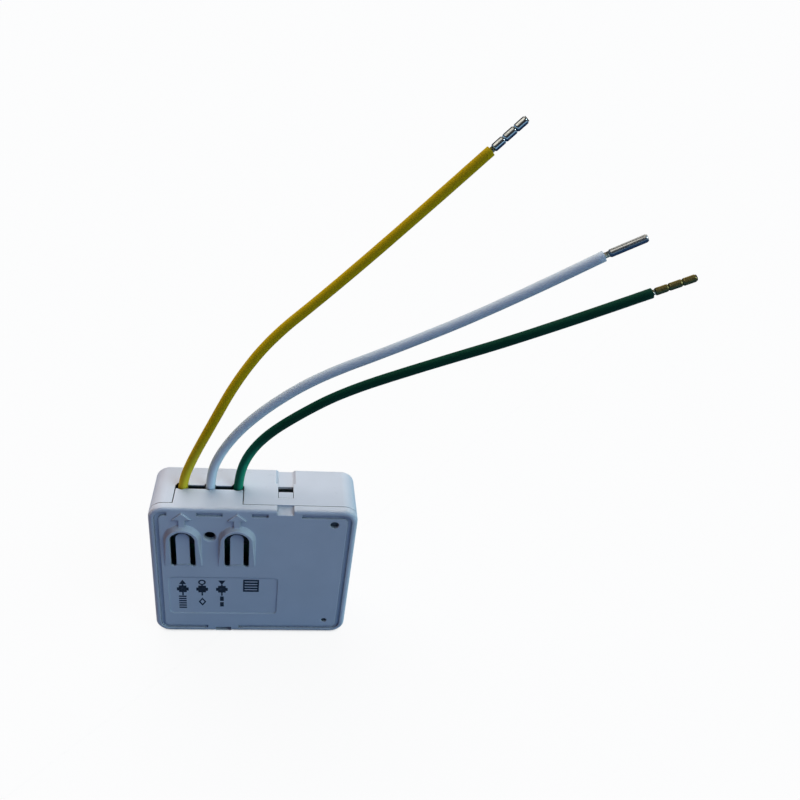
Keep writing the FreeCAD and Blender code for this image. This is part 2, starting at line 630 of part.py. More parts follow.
def make_notch(name, x, top):
    """A sloping notch in the rim, where a blade prises the cover off."""
    surface, away, clear = ("height", "-", "height + over") if top else ("0", "+", "-over")
    return slab(f"{name}_notch", "side", f"{x} - notch_wide / 2", "notch_wide", [
        (SEAM, f"{surface} {away} notch_back"), (FRONT, f"{surface} {away} notch_sunk"),
        (f"{FRONT} - over", f"{surface} {away} notch_sunk"), (f"{FRONT} - over", clear), (SEAM, clear),
    ])


def cover_pieces():
    """The solids that the front cover is made of."""
    rear, lip_end = f"{SEAM} - bite", f"{SEAM} + lip_depth"
    inset, inner = "wall + fit_gap", "wall + fit_gap + lip_wall"
    lip = rounded_slab("lip_outer", lip_end, rear, inset, f"corner - ({inset})")
    inside = rounded_slab("lip_inner", f"{lip_end} + over", f"{rear} - over", inner, f"corner - ({inner})")
    pieces = [
        moulded_blank("cover_blank", SEAM, FRONT, FRONT, "front_round"),
        tab_outline("tab", "0", rear, f"{FRONT} + tab_reach", "height - tab_thick", "tab_thick"),
        cut("lip", lip, inside),
        rod("light_shroud", "shroud_thick", (LAYOUT, rear, LIGHT),
            "shroud_reach - cover_depth + bite", "Y"),
    ]
    pieces += [make_hook(*latch) for latch in LATCHES]
    for side, x in BUTTONS.items():
        pieces += [make_guard(side, x), make_arrow(side, x)]
    for i, (x, z) in enumerate(CORNERS):
        pieces.append(rod(f"press_post_{i}", "post_thick", (x, rear, z),
                          "board_setback - cover_depth - fit_gap + bite", "Y"))
    return pieces


def cover_cuts():
    """The slots, holes, notches and recesses of the front cover."""
    before = f"{FRONT} - over"
    tools = [make_slot(side, x) for side, x in BUTTONS.items()]
    tools += [make_notch(*latch) for latch in LATCHES]
    tools += [make_face_groove(), make_seam_line()]
    light = (LAYOUT, before, LIGHT)
    tools.append(rod("light_bore", "light_hole", light, "shroud_reach + 2 * over", "Y"))
    tools.append(taper("light_cone", "light_mouth + 2 * over", "light_hole", light,
                       "over + (light_mouth - light_hole) / 2", "Y"))
    for wide, level in (("dimple_wide", "height - dimple_drop"), ("dimple_small", "dimple_low")):
        start = ("width / 2 - dimple_inset", before, level)
        tools.append(rod(f"{wide}_cut", wide, start, "over + dimple_sunk", "Y"))
    panel = sketch_on("panel_sketch", "face", f"{FRONT} + panel_sunk")
    left, low = "(panel_inset - width / 2)", "panel_low"
    rounded_outline(panel, left, f"{left} + panel_wide", low, f"{low} + panel_high", "panel_corner")
    tools.append(extrude("panel_cut", panel, "over"))
    tools += [lead_exit(f"{name}_scallop", x) for name, x in LEADS.items()]
    for i, (x, z) in enumerate(CORNERS):
        tools.append(rod(f"press_bore_{i}", "pin_thick + 2 * hole_room", (x, f"{SEAM} + bore_roof", z),
                         "board_setback", "Y"))
    return tools


def make_front_cover():
    """The front half of the housing, with tab, lip, hooks, guards, arrows and the holes in its face."""
    return node("front_cover", cut("front_cover", fuse("cover_whole", *cover_pieces()), *cover_cuts()))


def make_push_tongue(side, x):
    """A push tongue: an arched leaf, flush with the face, with a pip that meets the plunger."""
    rear = f"({FRONT} + tongue_thick)"
    sketch = sketch_on(f"{side}_leaf_sketch", "face", rear)
    arch_outline(sketch, x, f"{ROOT} + root_gap", ARCH, "tongue_wide / 2")
    leaf = extrude(f"{side}_leaf", sketch, "tongue_thick")
    pip = rod(f"{side}_pip", "pip_thick", (x, f"{rear} - bite", PRESS),
              f"{SWITCH_TIP} - pip_gap - {rear} + bite", "Y")
    return node(f"{side}_push_tongue", fuse(f"{side}_push_tongue", leaf, pip))


def make_switch(side, x):
    """A push switch of three pieces: base with a well, metal frame and flanged plunger."""
    half = "switch_wide / 2"
    top = f"({BOARD_FRONT} - switch_base)"
    middle = (x, f"{top} - over", PRESS)
    across = (f"{x} - {half}", f"{x} + {half}")
    upright = (f"{PRESS} - {half}", f"{PRESS} + {half}")
    well = rod(f"{side}_well", "plunger_flange + 2 * run_gap", middle, "switch_well + over", "Y")
    base = box(f"{side}_base_block", across, (top, BOARD_FRONT), upright)
    node(f"{side}_switch_base", cut(f"{side}_switch_base", base, well))

    plate = box(f"{side}_frame_plate", across, (f"{top} - switch_frame", top), upright)
    lugs = [
        box(f"{side}_frame_lug_{end}", (low, high), (f"{top} - switch_frame", f"{top} + lug_reach"),
            (f"{PRESS} - lug_wide / 2", f"{PRESS} + lug_wide / 2"))
        for end, low, high in (("a", f"{x} - {half} - switch_frame", f"{x} - {half}"),
                               ("b", f"{x} + {half}", f"{x} + {half} + switch_frame"))
    ]
    hole = rod(f"{side}_frame_hole", "plunger_thick + 2 * run_gap", middle, "2 * over", "Y")
    node(f"{side}_switch_frame", cut(f"{side}_switch_frame", fuse(f"{side}_frame_sheet", plate, *lugs), hole))

    under, tip = f"{top} + run_gap", (x, SWITCH_TIP, PRESS)
    stem = rod(f"{side}_stem", "plunger_thick", tip, f"{under} - {SWITCH_TIP}", "Y")
    flange = rod(f"{side}_flange", "plunger_flange", (x, under, PRESS), "flange_thick", "Y")
    node(f"{side}_plunger", fuse(f"{side}_plunger", stem, flange))


def make_circuit_board():
    """The board, with holes for the posts' pins and the leads."""
    body = doc.addObject("PartDesign::Body", "circuit_board")
    pad = body.newObject("PartDesign::Pad", "board_pad")
    edge = sketch_in(body, "board_outline", BOARD_REAR)
    rounded_outline(edge, f"-{BOARD_HALF}", BOARD_HALF, BOARD_LOW, BOARD_HIGH, "board_corner")
    pad.Profile = edge
    bind(pad, Length="board_thick")
    drill = sketch_in(body, "board_drill", BOARD_REAR)
    holes = [(x, z, "pin_thick / 2 + hole_room") for x, z in CORNERS]
    holes += [(x, JOINT, "core_thick / 2 + hole_room") for x in LEADS.values()]
    for x, z, radius in holes:
        circle = Part.Circle(Vector(number(x), number(z), 0), Vector(0, 0, 1), number(radius))
        hole = drill.addGeometry(circle, False)
        index = drill.addConstraint(Sketcher.Constraint("Radius", hole, number(radius)))
        drill.setExpression(f"Constraints[{index}]", bound(radius))
        pin_point(drill, hole, 3, x, z)
    pocket = body.newObject("PartDesign::Pocket", "board_holes")
    pocket.Profile = drill
    pocket.Reversed = True
    bind(pocket, Length="board_thick")
    body.Tip = pocket
    node("circuit_board", body)


def cell_rod(name, thick, level, length):
    """A cylinder about the coin cell's axis."""
    return rod(name, thick, (CELL_X, level, CELL_Z), length, "Y")


def make_cell():
    """The coin cell: can, cap and gasket, about an axis from front to rear."""
    inner = "cell_thick - 2 * cell_skin"
    can = cell_rod("can_block", "cell_thick", f"{CELL_NEAR} + cell_skin", "cell_high - cell_skin")
    hollow = cell_rod("can_hollow", inner, f"{CELL_NEAR} - over", "cell_high - cell_skin + over")
    node("coin_cell_can", cut("coin_cell_can", can, hollow))
    cap = f"{inner} - 2 * gasket_wide"
    node("coin_cell_cap", cell_rod("coin_cell_cap", cap, CELL_NEAR, "cell_high - cell_skin"))
    near = f"{CELL_NEAR} + gasket_sunk"
    ring = cell_rod("gasket_block", inner, near, "cell_high - cell_skin - gasket_sunk")
    bore = cell_rod("gasket_bore", cap, f"{CELL_NEAR} - over", "cell_high + over")
    node("coin_cell_gasket", cut("coin_cell_gasket", ring, bore))


def make_battery_metal():
    """The bent clip over the cell and the contact under it."""
    leg = "(cell_thick / 2 + clip_gap)"
    outer = f"({leg} + clip_sheet)"
    foot = f"({outer} + clip_foot)"
    top = f"({CELL_FAR} + clip_sheet)"
    sole = f"({BOARD_REAR} + clip_sheet)"
    under = [(leg, CELL_FAR), (leg, BOARD_REAR), (foot, BOARD_REAR)]
    above = [(foot, sole), (outer, sole), (outer, top)]
    corners = [(f"{CELL_X} + {x}", y) for x, y in under + above]
    corners += [(f"{CELL_X} - {x}", y) for x, y in reversed(under + above)]
    node("battery_clip", slab("battery_clip", "top", f"{CELL_Z} - clip_wide / 2", "clip_wide", corners))
    base = cell_rod("contact_base", "contact_thick", BOARD_REAR, "contact_rise / 2")
    dome = taper("contact_dome", "contact_foot", "contact_tip",
                 (CELL_X, f"{BOARD_REAR} + contact_rise / 2", CELL_Z), "contact_rise / 2", "Y")
    node("battery_contact", fuse("battery_contact", base, dome))


def board_block(name, x, z, wide, high, rise, front=False):
    """A rectangular board part that stands on the rear or the front of the board."""
    depth = (f"{BOARD_FRONT} - {rise}", BOARD_FRONT) if front else (BOARD_REAR, f"{BOARD_REAR} + {rise}")
    across = (f"{x} - {wide} / 2", f"{x} + {wide} / 2")
    return box(name, across, depth, (f"{z} - {high} / 2", f"{z} + {high} / 2"))


def make_light():
    """The pilot light on the front of the board."""
    base = board_block("light_base", LAYOUT, LIGHT, "lamp_wide", "lamp_high", "lamp_base", True)
    lens = rod("light_lens", "lamp_high", (LAYOUT, f"{BOARD_FRONT} - lamp_rise", LIGHT),
               "lamp_rise - lamp_base / 2", "Y")
    node("indicator_led", fuse("indicator_led", base, lens))


def make_chips():
    """The controller, the crystal and the radio chip in a column, with small parts on both sides."""
    column = (
        ("microcontroller", CHIP_Z, "chip_wide", "chip_wide"),
        ("crystal", CRYSTAL_Z, "crystal_wide", "crystal_high"),
        ("radio_chip", RADIO_Z, "radio_wide", "radio_wide"),
    )
    for name, level, wide, high in column:
        node(name, board_block(name, CHIP_X, level, wide, high, "chip_rise"))
    reach = "(chip_wide / 2 + part_gap + part_long / 2)"
    levels = [f"({level} {sign} part_pitch / 2)" for level in (CHIP_Z, RADIO_Z) for sign in "+-"]
    for kind, rise, sign in (("capacitors", "capacitor_rise", "-"), ("resistors", "resistor_rise", "+")):
        x = f"({CHIP_X} {sign} {reach})"
        group = [
            board_block(f"{kind}_{i}", x, level, "part_long", "part_wide", rise)
            for i, level in enumerate(levels)
        ]
        node(kind, fuse(kind, *group))


def make_aerial():
    """The aerial: one copper trace that winds up and down in the board's lower corner."""
    depth = (BOARD_REAR, f"{BOARD_REAR} + trace_thick")
    half = "trace_wide / 2"
    low = f"({BOARD_LOW} + post_low + post_thick / 2 + part_gap + {half})"
    high = f"({RADIO_Z} - radio_wide / 2 - trace_gap - {half})"
    pieces = []
    for i in range(TRACE_RUNS):
        x = f"(part_gap + {half} - {BOARD_HALF} + {i} * trace_pitch)"
        across = (f"{x} - {half}", f"{x} + {half}")
        pieces.append(box(f"trace_run_{i}", across, depth, (low, high)))
        if i + 1 < TRACE_RUNS:
            level = high if i % 2 else low
            across = (f"{x} - {half}", f"{x} + trace_pitch + {half}")
            pieces.append(box(f"trace_turn_{i}", across, depth, (f"{level} - {half}", f"{level} + {half}")))
    node("antenna_trace", fuse("antenna_trace", *pieces))


def route_points(name):
    """The route of a lead, from the insulation's inner end to its outer end."""
    leave = Vector(number(LEADS[name]), number(LEAD_Y), number("height"))
    inner_end = leave - Vector(0, 0, number("lead_inside"))
    return [inner_end] + [leave + Vector(*point) for point in ROUTES[name]]


def smooth_wire(name, points):
    """Straight runs joined by tangent arcs, each as large as its two runs allow."""
    edges, here, radii = [], points[0], []
    for before, corner, after in zip(points, points[1:], points[2:]):
        back, ahead = before - corner, after - corner
        turn = math.pi - back.getAngle(ahead)
        reach = ARC_SHARE * min(back.Length, ahead.Length)
        radius = reach / math.tan(turn / 2)
        start, end = corner + back.normalize() * reach, corner + ahead.normalize() * reach
        inward = (start + end - corner * 2).normalize()
        middle = corner + inward * (math.hypot(radius, reach) - radius)
        edges.append(Part.LineSegment(here, start).toShape())
        edges.append(Part.Arc(start, middle, end).toShape())
        radii.append(radius)
        here = end
    edges.append(Part.LineSegment(here, points[-1]).toShape())
    print(name, "lead, radii of its bends:", ", ".join(f"{radius:.1f}" for radius in radii))
    return Part.Wire(edges)


def aimed(start, direction):
    """A placement at a point with its own Z along a direction."""
    return FreeCAD.Placement(start, Rotation(Vector(0, 0, 1), direction))


def make_lead(name, x, bare, sleeve, crimps):
    """A lead: insulation along its route, bare strands at both ends and a metal sleeve."""
    points = route_points(name)
    path = doc.addObject("Part::Feature", f"{name}_path")
    path.Shape = smooth_wire(name, points)
    ring = doc.addObject("Part::Circle", f"{name}_section")
    ring.Placement = aimed(points[0], points[1] - points[0])
    bind(ring, Radius="lead_thick / 2")
    tube = doc.addObject("Part::Sweep", f"{name}_lead")
    tube.Sections = [ring]
    tube.Spine = (path, [f"Edge{i}" for i in range(1, len(path.Shape.Edges) + 1)])
    tube.Solid = True
    doc.recompute()
    length, volume = path.Shape.Length, tube.Shape.Volume
    expected = math.pi * number("lead_thick / 2") ** 2 * length
    print(f"{name} lead: length {length:.1f}, volume {volume:.1f} against {expected:.1f}")
    node(f"{name}_lead", tube)

    down = rod(f"{name}_tail_down", "core_thick", (x, LEAD_Y, JOINT), "joint_drop")
    turn = place(doc.addObject("Part::Sphere", f"{name}_tail_turn"), x, LEAD_Y, JOINT)
    bind(turn, Radius="core_thick / 2")
    tip = f"({BOARD_FRONT} - joint_rise - tail_proud)"
    through = rod(f"{name}_tail_through", "core_thick", (x, tip, JOINT), f"{LEAD_Y} - {tip}", "Y")
    direction = (points[-1] - points[-2]).normalize()
    strands = doc.addObject("Part::Cylinder", f"{name}_strands")
    strands.Placement = aimed(points[-1], direction)
    bind(strands, Radius="core_thick / 2", Height=bare)
    node(f"{name}_core", fuse(f"{name}_core", down, turn, through, strands))
    make_sleeve(name, points[-1] + direction * number(bare), direction, number(sleeve), crimps)


def make_sleeve(name, start, direction, length, crimps):
    """The metal end of a lead: a plain sleeve, or one pressed into equal segments by round grooves."""
    radius, groove, edge = number("sleeve_thick") / 2, number("crimp_groove"), number("sleeve_edge")
    profile = [(0, 0), (radius - edge, 0), (radius, edge)]
    for i in range(1, crimps):
        level = length * i / crimps
        profile += [(radius, level - groove), (radius - groove, level), (radius, level + groove)]
    profile += [(radius, length - edge), (radius - edge, length), (0, length)]
    section = doc.addObject("Part::Feature", f"{name}_sleeve_section")
    section.Shape = Part.makePolygon([Vector(r, 0, z) for r, z in profile + profile[:1]])
    section.Placement = aimed(start, direction)
    turned = doc.addObject("Part::Revolution", f"{name}_ferrule")
    turned.Source = section
    turned.Base = start
    turned.Axis = direction
    turned.Angle = 360
    turned.Solid = True
    node(f"{name}_ferrule", turned)


def make_solder():
    """The three cones of solder round the leads' tails, on the front of the board."""
    cones = []
    for name, x in LEADS.items():
        tip = f"{BOARD_FRONT} - joint_rise"
        start = (x, tip, JOINT)
        cone = taper(f"{name}_joint_cone", "joint_tip", "joint_thick", start, "joint_rise", "Y")
        bore = rod(f"{name}_joint_bore", "core_thick", (x, f"{tip} - over", JOINT),
                   "joint_rise + 2 * over", "Y")
        cones.append(cut(f"{name}_joint", cone, bore))
    node("solder_joints", fuse("solder_joints", *cones))


make_rear_shell()
make_front_cover()
for button, position in BUTTONS.items():
    make_push_tongue(button, position)
    make_switch(button, position)
make_circuit_board()
make_cell()
make_battery_metal()
make_light()
make_chips()
make_aerial()
make_lead("yellow", LEADS["yellow"], "strand_bare", "sleeve_long", 3)
make_lead("white", LEADS["white"], "strand_bare_white", "sleeve_long_white", 1)
make_lead("green", LEADS["green"], "strand_bare", "sleeve_long", 3)
make_solder()
doc.recompute()

failed = [thing.Name for thing in doc.Objects if {"Invalid", "Error"} & set(thing.State)]
if failed:
    raise RuntimeError(f"failed objects: {failed}")
os.makedirs("parts", exist_ok=True)
for name, thing in nodes.items():
    shape = thing.Shape
    if shape.isNull() or not shape.isValid() or not shape.Solids:
        raise RuntimeError(f"bad shape: {name}")
    shape.exportStep(f"parts/{name}.step")
    box_mm = shape.BoundBox
    print(f"{name:20s} solids {len(shape.Solids)}  volume {shape.Volume:9.2f}  "
          f"x {box_mm.XMin:7.2f} {box_mm.XMax:7.2f}  y {box_mm.YMin:6.2f} {box_mm.YMax:6.2f}  "
          f"z {box_mm.ZMin:6.2f} {box_mm.ZMax:6.2f}")
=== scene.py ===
"""Dresses a radio transmitter module: camera and leads first, then the housing, the board and the studio.

Everything is in metres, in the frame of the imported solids: +X to the right, +Z up, the front towards -Y.
"""
import logging
import math
from collections.abc import Callable, Sequence
from dataclasses import dataclass
from enum import Enum

import bmesh
import bpy
from mathutils import Matrix, Vector


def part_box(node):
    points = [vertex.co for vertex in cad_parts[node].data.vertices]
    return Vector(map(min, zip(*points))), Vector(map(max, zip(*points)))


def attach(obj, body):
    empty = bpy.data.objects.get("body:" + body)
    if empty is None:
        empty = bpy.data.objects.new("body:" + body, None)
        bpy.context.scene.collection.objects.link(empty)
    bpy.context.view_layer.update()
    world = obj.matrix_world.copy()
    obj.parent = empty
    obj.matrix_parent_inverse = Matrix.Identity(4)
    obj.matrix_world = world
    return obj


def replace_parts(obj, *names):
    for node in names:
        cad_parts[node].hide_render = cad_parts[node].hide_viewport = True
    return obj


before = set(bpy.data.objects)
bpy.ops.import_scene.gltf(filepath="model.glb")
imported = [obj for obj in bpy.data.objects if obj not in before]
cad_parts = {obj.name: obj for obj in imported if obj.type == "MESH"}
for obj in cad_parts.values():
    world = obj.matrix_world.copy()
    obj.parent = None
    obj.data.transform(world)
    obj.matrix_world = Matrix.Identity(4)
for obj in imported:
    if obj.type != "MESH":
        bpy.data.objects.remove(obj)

MM = 0.001
Colour = tuple[float, float, float]
Point = tuple[float, float, float]
Spots = tuple[tuple[float, float], ...]
Material = bpy.types.Material
Thing = bpy.types.Object
CELL_AXIS = (7.5, 17.0)
RING_SIDES = 28
log = logging.getLogger("module")


def operator(operation: str, reflected: bool = False) -> Callable[..., "Socket"]:
    """Makes one of Socket's operators.

    Args:
        operation: The Math node's operation.
        reflected: Puts the socket second, so that 1 - mask works.

    Returns:
        The method that adds the node.
    """
    def apply(self: "Socket", *others: "Socket | float") -> "Socket":
        """Adds the Math node."""
        values = (*others, self) if reflected else (self, *others)
        return self.tree.node("ShaderNodeMath", {"operation": operation}, dict(enumerate(values)))

    return apply


class Socket:
    """A shader value; sums on it add Math nodes. Of two masks, | gives the larger and & the smaller."""

    __add__, __radd__ = operator("ADD"), operator("ADD", True)
    __sub__, __rsub__ = operator("SUBTRACT"), operator("SUBTRACT", True)
    __mul__, __rmul__ = operator("MULTIPLY"), operator("MULTIPLY", True)
    __pow__, __rpow__ = operator("POWER"), operator("POWER", True)
    __or__, __ror__ = operator("MAXIMUM"), operator("MAXIMUM", True)
    __and__, __rand__ = operator("MINIMUM"), operator("MINIMUM", True)
    __abs__ = operator("ABSOLUTE")
    wave = operator("SINE")

    def __init__(self, tree: "Tree", link: bpy.types.NodeSocket) -> None:
        """Keeps the tree and the output that the value comes from."""
        self.tree = tree
        self.link = link

    def step(self, start: float, end: float) -> "Socket":
        """A soft step from 0 at start to 1 at end, which falls where the end lies below the start."""
        settings = {"interpolation_type": "SMOOTHSTEP", "clamp": True}
        return self.tree.node("ShaderNodeMapRange", settings, {0: self, 1: start, 2: end, 3: 0.0, 4: 1.0})


class Tree:
    """A node tree that is written as expressions."""

    def __init__(self, tree: bpy.types.NodeTree) -> None:
        """Takes the tree over and empties it."""
        self.tree = tree
        tree.nodes.clear()

    def node(self, kind: str, settings: dict | None = None, sockets: dict | None = None,
             output: int | str = 0) -> Socket:
        """Adds a node.

        Args:
            kind: The node's type.
            settings: Its properties, which are set first.
            sockets: Its inputs by index or name, each a number, a tuple or a Socket.
            output: The output wanted, by index or name.

        Returns:
            The output as a Socket.
        """
        made = self.tree.nodes.new(kind)
        for name, value in (settings or {}).items():
            setattr(made, name, value)
        for key, value in (sockets or {}).items():
            if isinstance(value, Socket):
                self.tree.links.new(value.link, made.inputs[key])
            elif isinstance(value, tuple) and made.inputs[key].type == "RGBA":
                made.inputs[key].default_value = (*value, 1.0)
            else:
                made.inputs[key].default_value = value
        return Socket(self, made.outputs[output] if len(made.outputs) else None)

    def mix(self, mask: Socket | float, one: Socket | Colour, other: Socket | Colour) -> Socket:
        """A colour between one, where the mask is 0, and other, where it is 1."""
        return self.node("ShaderNodeMix", {"data_type": "RGBA"}, {0: mask, 6: one, 7: other}, 2)

    def scaled(self, vector: Socket, factors: Point) -> Socket:
        """A vector times three factors."""
        return self.node("ShaderNodeVectorMath", {"operation": "MULTIPLY"}, {0: vector, 1: factors})

    def part(self, vector: Socket, letter: str) -> Socket:
        """The X, Y or Z part of a vector."""
        return self.node("ShaderNodeSeparateXYZ", {}, {0: vector}, letter)

    def joined(self, x: Socket | float, y: Socket | float, z: Socket | float) -> Socket:
        """A vector of three values."""
        return self.node("ShaderNodeCombineXYZ", {}, {0: x, 1: y, 2: z})

    def facing(self, vector: Socket, way: Socket | Point) -> Socket:
        """How far two directions agree: 1 where they are the same, 0 where they are square to each other."""
        return self.node("ShaderNodeVectorMath", {"operation": "DOT_PRODUCT"}, {0: vector, 1: way}, "Value")

    def seen(self) -> Socket:
        """1 for what the camera, a mirror or a lens looks at, 0 for plain light."""
        rays = [self.rays(kind) for kind in ("Camera", "Glossy", "Transmission")]
        return rays[0] | rays[1] | rays[2]

    def rays(self, kind: str) -> Socket:
        """1 for one kind of ray, 0 for the others."""
        return self.node("ShaderNodeLightPath", output=f"Is {kind} Ray")


class Coat(Tree):
    """The tree of one material, with the coordinates of the module's own frame."""

    def __init__(self, name: str) -> None:
        """Makes the material and finds its coordinates.

        Args:
            name: The finish's name.
        """
        self.material = bpy.data.materials.new(f"{name}_finish")
        self.material.use_nodes = True
        super().__init__(self.material.node_tree)
        self.place = self.node("ShaderNodeTexCoord", output="Object")

    def at(self, letter: str) -> Socket:
        """The X, Y or Z of a place, in metres."""
        return self.part(self.place, letter)

    def flat(self, letter: str) -> Socket:
        """The X, Y or Z of the bare face's direction."""
        return self.part(self.node("ShaderNodeNewGeometry", output="True Normal"), letter)

    def noise(self, size: float, detail: float = 2.0, vector: Socket | None = None) -> Socket:
        """Cloudy noise from 0 to 1 with features of a size, on the module's frame or a vector."""
        sockets = {"Vector": vector or self.place, "Scale": 1.0 / size, "Detail": detail}
        return self.node("ShaderNodeTexNoise", {}, sockets)

    def scratches(self, size: float, width: float, vector: Socket | None = None) -> Socket:
        """Draws thin lines between cells.

        Args:
            size: A cell's size.
            width: The lines' width, as a share of that size.
            vector: Where to look the cells up, if not in the module's frame.

        Returns:
            The mask.
        """
        sockets = {"Vector": vector or self.place, "Scale": 1.0 / size}
        cells = self.node("ShaderNodeTexVoronoi", {"feature": "DISTANCE_TO_EDGE"}, sockets, "Distance")
        return cells.step(width, 0.0)

    def soft_edges(self, radius: float) -> Socket:
        """The normal of a surface whose edges are rounded a little."""
        return self.node("ShaderNodeBevel", {"samples": 4}, {"Radius": radius})

    def edge_mask(self, normal: Socket) -> Socket:
        """Where a rounded normal leaves the flat one: 0 on a face, 1 on an edge."""
        bare = self.node("ShaderNodeNewGeometry", output="True Normal")
        return (1.0 - self.facing(normal, bare)).step(0.002, 0.12)

    def late_front(self, normal: Socket) -> Socket:
        """Makes rounded front edges look crisper than they are.

        Args:
            normal: The surface's direction.

        Returns:
            A direction that turns to the front late.
        """
        x, y, z = (self.part(normal, letter) for letter in "XYZ")
        turned = (y | 0.0) - (0.0 - y).step(0.6, 1.0)
        return self.node("ShaderNodeVectorMath", {"operation": "NORMALIZE"}, {0: self.joined(x, turned, z)})

    def within(self, low: Point, high: Point, blur: float) -> Socket:
        """A soft mask for what lies inside a box of the module's frame.

        Args:
            low: The box's lowest corner, in millimetres.
            high: Its highest corner.
            blur: Width of the mask's edge, in metres.

        Returns:
            The mask, 1 inside.
        """
        inside = None
        for letter, start, end in zip("XYZ", low, high):
            middle, half = (start + end) / 2 * MM, (end - start) / 2 * MM
            share = abs(self.at(letter) - middle).step(half, half - blur)
            inside = inside & share if inside else share
        return inside

    def hidden(self, reach: float) -> Socket:
        """The share of the surroundings that is shut off within a reach: 0 on an open face, 1 in a slot."""
        return 1.0 - self.node("ShaderNodeAmbientOcclusion", {"samples": 6}, {"Distance": reach}, "AO")

    def bump(self, height: Socket, depth: float, normal: Socket | None = None) -> Socket:
        """Turns a height into a surface direction.

        Args:
            height: The height, from 0 to 1.
            depth: How deep a height of 1 is, in metres.
            normal: The direction to start from, if not the surface's own.

        Returns:
            The direction.
        """
        sockets = {"Height": height, "Distance": depth, "Strength": 1.0}
        if normal:
            sockets["Normal"] = normal
        return self.node("ShaderNodeBump", {}, sockets)

    def close(self, colour: Socket | Colour, roughness: Socket | float, normal: Socket,
              **settings: Socket | float | Colour) -> Material:
        """Joins the values in the surface shader.

        Args:
            colour: Base colour.
            roughness: Roughness.
            normal: The surface's direction.
            **settings: Other inputs of the shader, by name with _ for a space.

        Returns:
            The finished material.
        """
        sockets = {"Base Color": colour, "Roughness": roughness, "Normal": normal}
        sockets |= {name.replace("_", " "): value for name, value in settings.items()}
        surface = self.node("ShaderNodeBsdfPrincipled", {}, sockets)
        self.node("ShaderNodeOutputMaterial", {}, {"Surface": surface})
        return self.material


def shade(colour: Colour, factor: float) -> Colour:
    """A colour made darker or lighter by a factor."""
    return tuple(factor * part for part in colour)


@dataclass(frozen=True)
class Moulded:
    """Moulded plastic with a fine spark-eroded grain, faint flow clouds, edges rubbed smooth and painted
    lighter as a highlight, and painted shade in slots, creases and listed recesses.
    """

    name: str
    colour: Colour
    roughness: float = 0.42
    grain: float = 0.22 * MM
    grain_depth: float = 0.004 * MM
    edge: float = 0.3 * MM
    dust: float = 0.08
    # How much lighter the edges are painted, as a highlight.
    edge_highlight: float = 1.35
    # Colour of the painted shade in slots and creases; the recesses are boxes, in millimetres, painted with
    # that shade too.
    painted_shade: Colour = (0.012, 0.022, 0.024)
    recesses: tuple[tuple[Point, Point], ...] = ()

    def material(self) -> Material:
        """Builds the material.

        Returns:
            The material.
        """
        coat = Coat(self.name)
        rounded = coat.soft_edges(self.edge)
        edge = coat.edge_mask(rounded)
        cloud = coat.noise(11 * MM, 3.0)
        grain = coat.noise(self.grain, 1.0)
        speck = coat.noise(0.9 * MM, 0.0).step(0.76, 0.82) * self.dust
        # Painted highlight: the edges turn lighter than the plastic.
        light = tuple(min(1.0, part + 0.01) for part in shade(self.colour, self.edge_highlight))
        colour = coat.mix(cloud.step(0.25, 0.75), shade(self.colour, 0.93), self.colour)
        colour = coat.mix(edge * 0.8, colour, light)
        colour = coat.mix(speck, colour, shade(self.colour, 0.45))
        # Painted shade: slots, creases and the recesses turn dark by how shut in they are.
        hidden = coat.hidden(3 * MM)
        shut = hidden.step(0.2, 0.55) * 0.25 | hidden.step(0.55, 0.85)
        for recess in self.recesses:
            shut = shut | coat.within(*recess, 0.15 * MM)
        colour = coat.mix(shut, colour, self.painted_shade)
        roughness = self.roughness + (cloud - 0.5) * 0.16 + (grain - 0.5) * 0.1 - edge * 0.1
        shaded = coat.bump(grain, self.grain_depth, coat.late_front(rounded))
        return coat.close(colour, roughness, shaded, Specular_IOR_Level=0.45)


@dataclass(frozen=True)
class Insulation:
    """Smooth insulation with lines from the die, small scuffs, a milky bloom, and painted light near its
    root, mostly on the side that faces +X.
    """

    name: str
    colour: Colour
    bloom: Colour
    # Colour of the painted light near the root.
    root_light: Colour
    roughness: float = 0.6
    shine: float = 0.2
    # Along the lead, where that painted light is gone and where it is full.
    root_light_reach: tuple[float, float] = (20 * MM, 9 * MM)

    def material(self) -> Material:
        """Builds the material on the tube's own coordinates: metres along it and turns round it.

        Returns:
            The material.
        """
        coat = Coat(self.name)
        lay = coat.node("ShaderNodeUVMap", {"uv_map": "lay"})
        along, turn = coat.part(lay, "X"), coat.part(lay, "Y") * math.tau
        round_about = coat.joined((turn + math.pi / 2).wave(), turn.wave(), along * 40.0)
        die = coat.noise(0.09, 2.0, round_about)
        cloud = coat.noise(6 * MM, 3.0)
        scuff = coat.noise(0.7 * MM, 3.0).step(0.62, 0.74) * cloud.step(0.45, 0.65)
        colour = coat.mix(cloud.step(0.3, 0.75) * 0.35, self.colour, self.bloom)
        colour = coat.mix(scuff * 0.25, colour, self.bloom)
        # Painted light: near the root the colour turns to the root light colour, fully on the side that faces
        # +X and a quarter as much elsewhere.
        outer = coat.flat("X").step(-0.5, 0.4)
        colour = coat.mix(along.step(*self.root_light_reach) * (outer * 0.75 + 0.25), colour, self.root_light)
        roughness = self.roughness + (die - 0.5) * 0.12 + scuff * 0.15
        height = die * 0.5 + scuff * -0.3 + coat.noise(2.4 * MM, 1.0) * 0.5
        return coat.close(colour, roughness, coat.bump(height, 0.004 * MM), Specular_IOR_Level=self.shine)


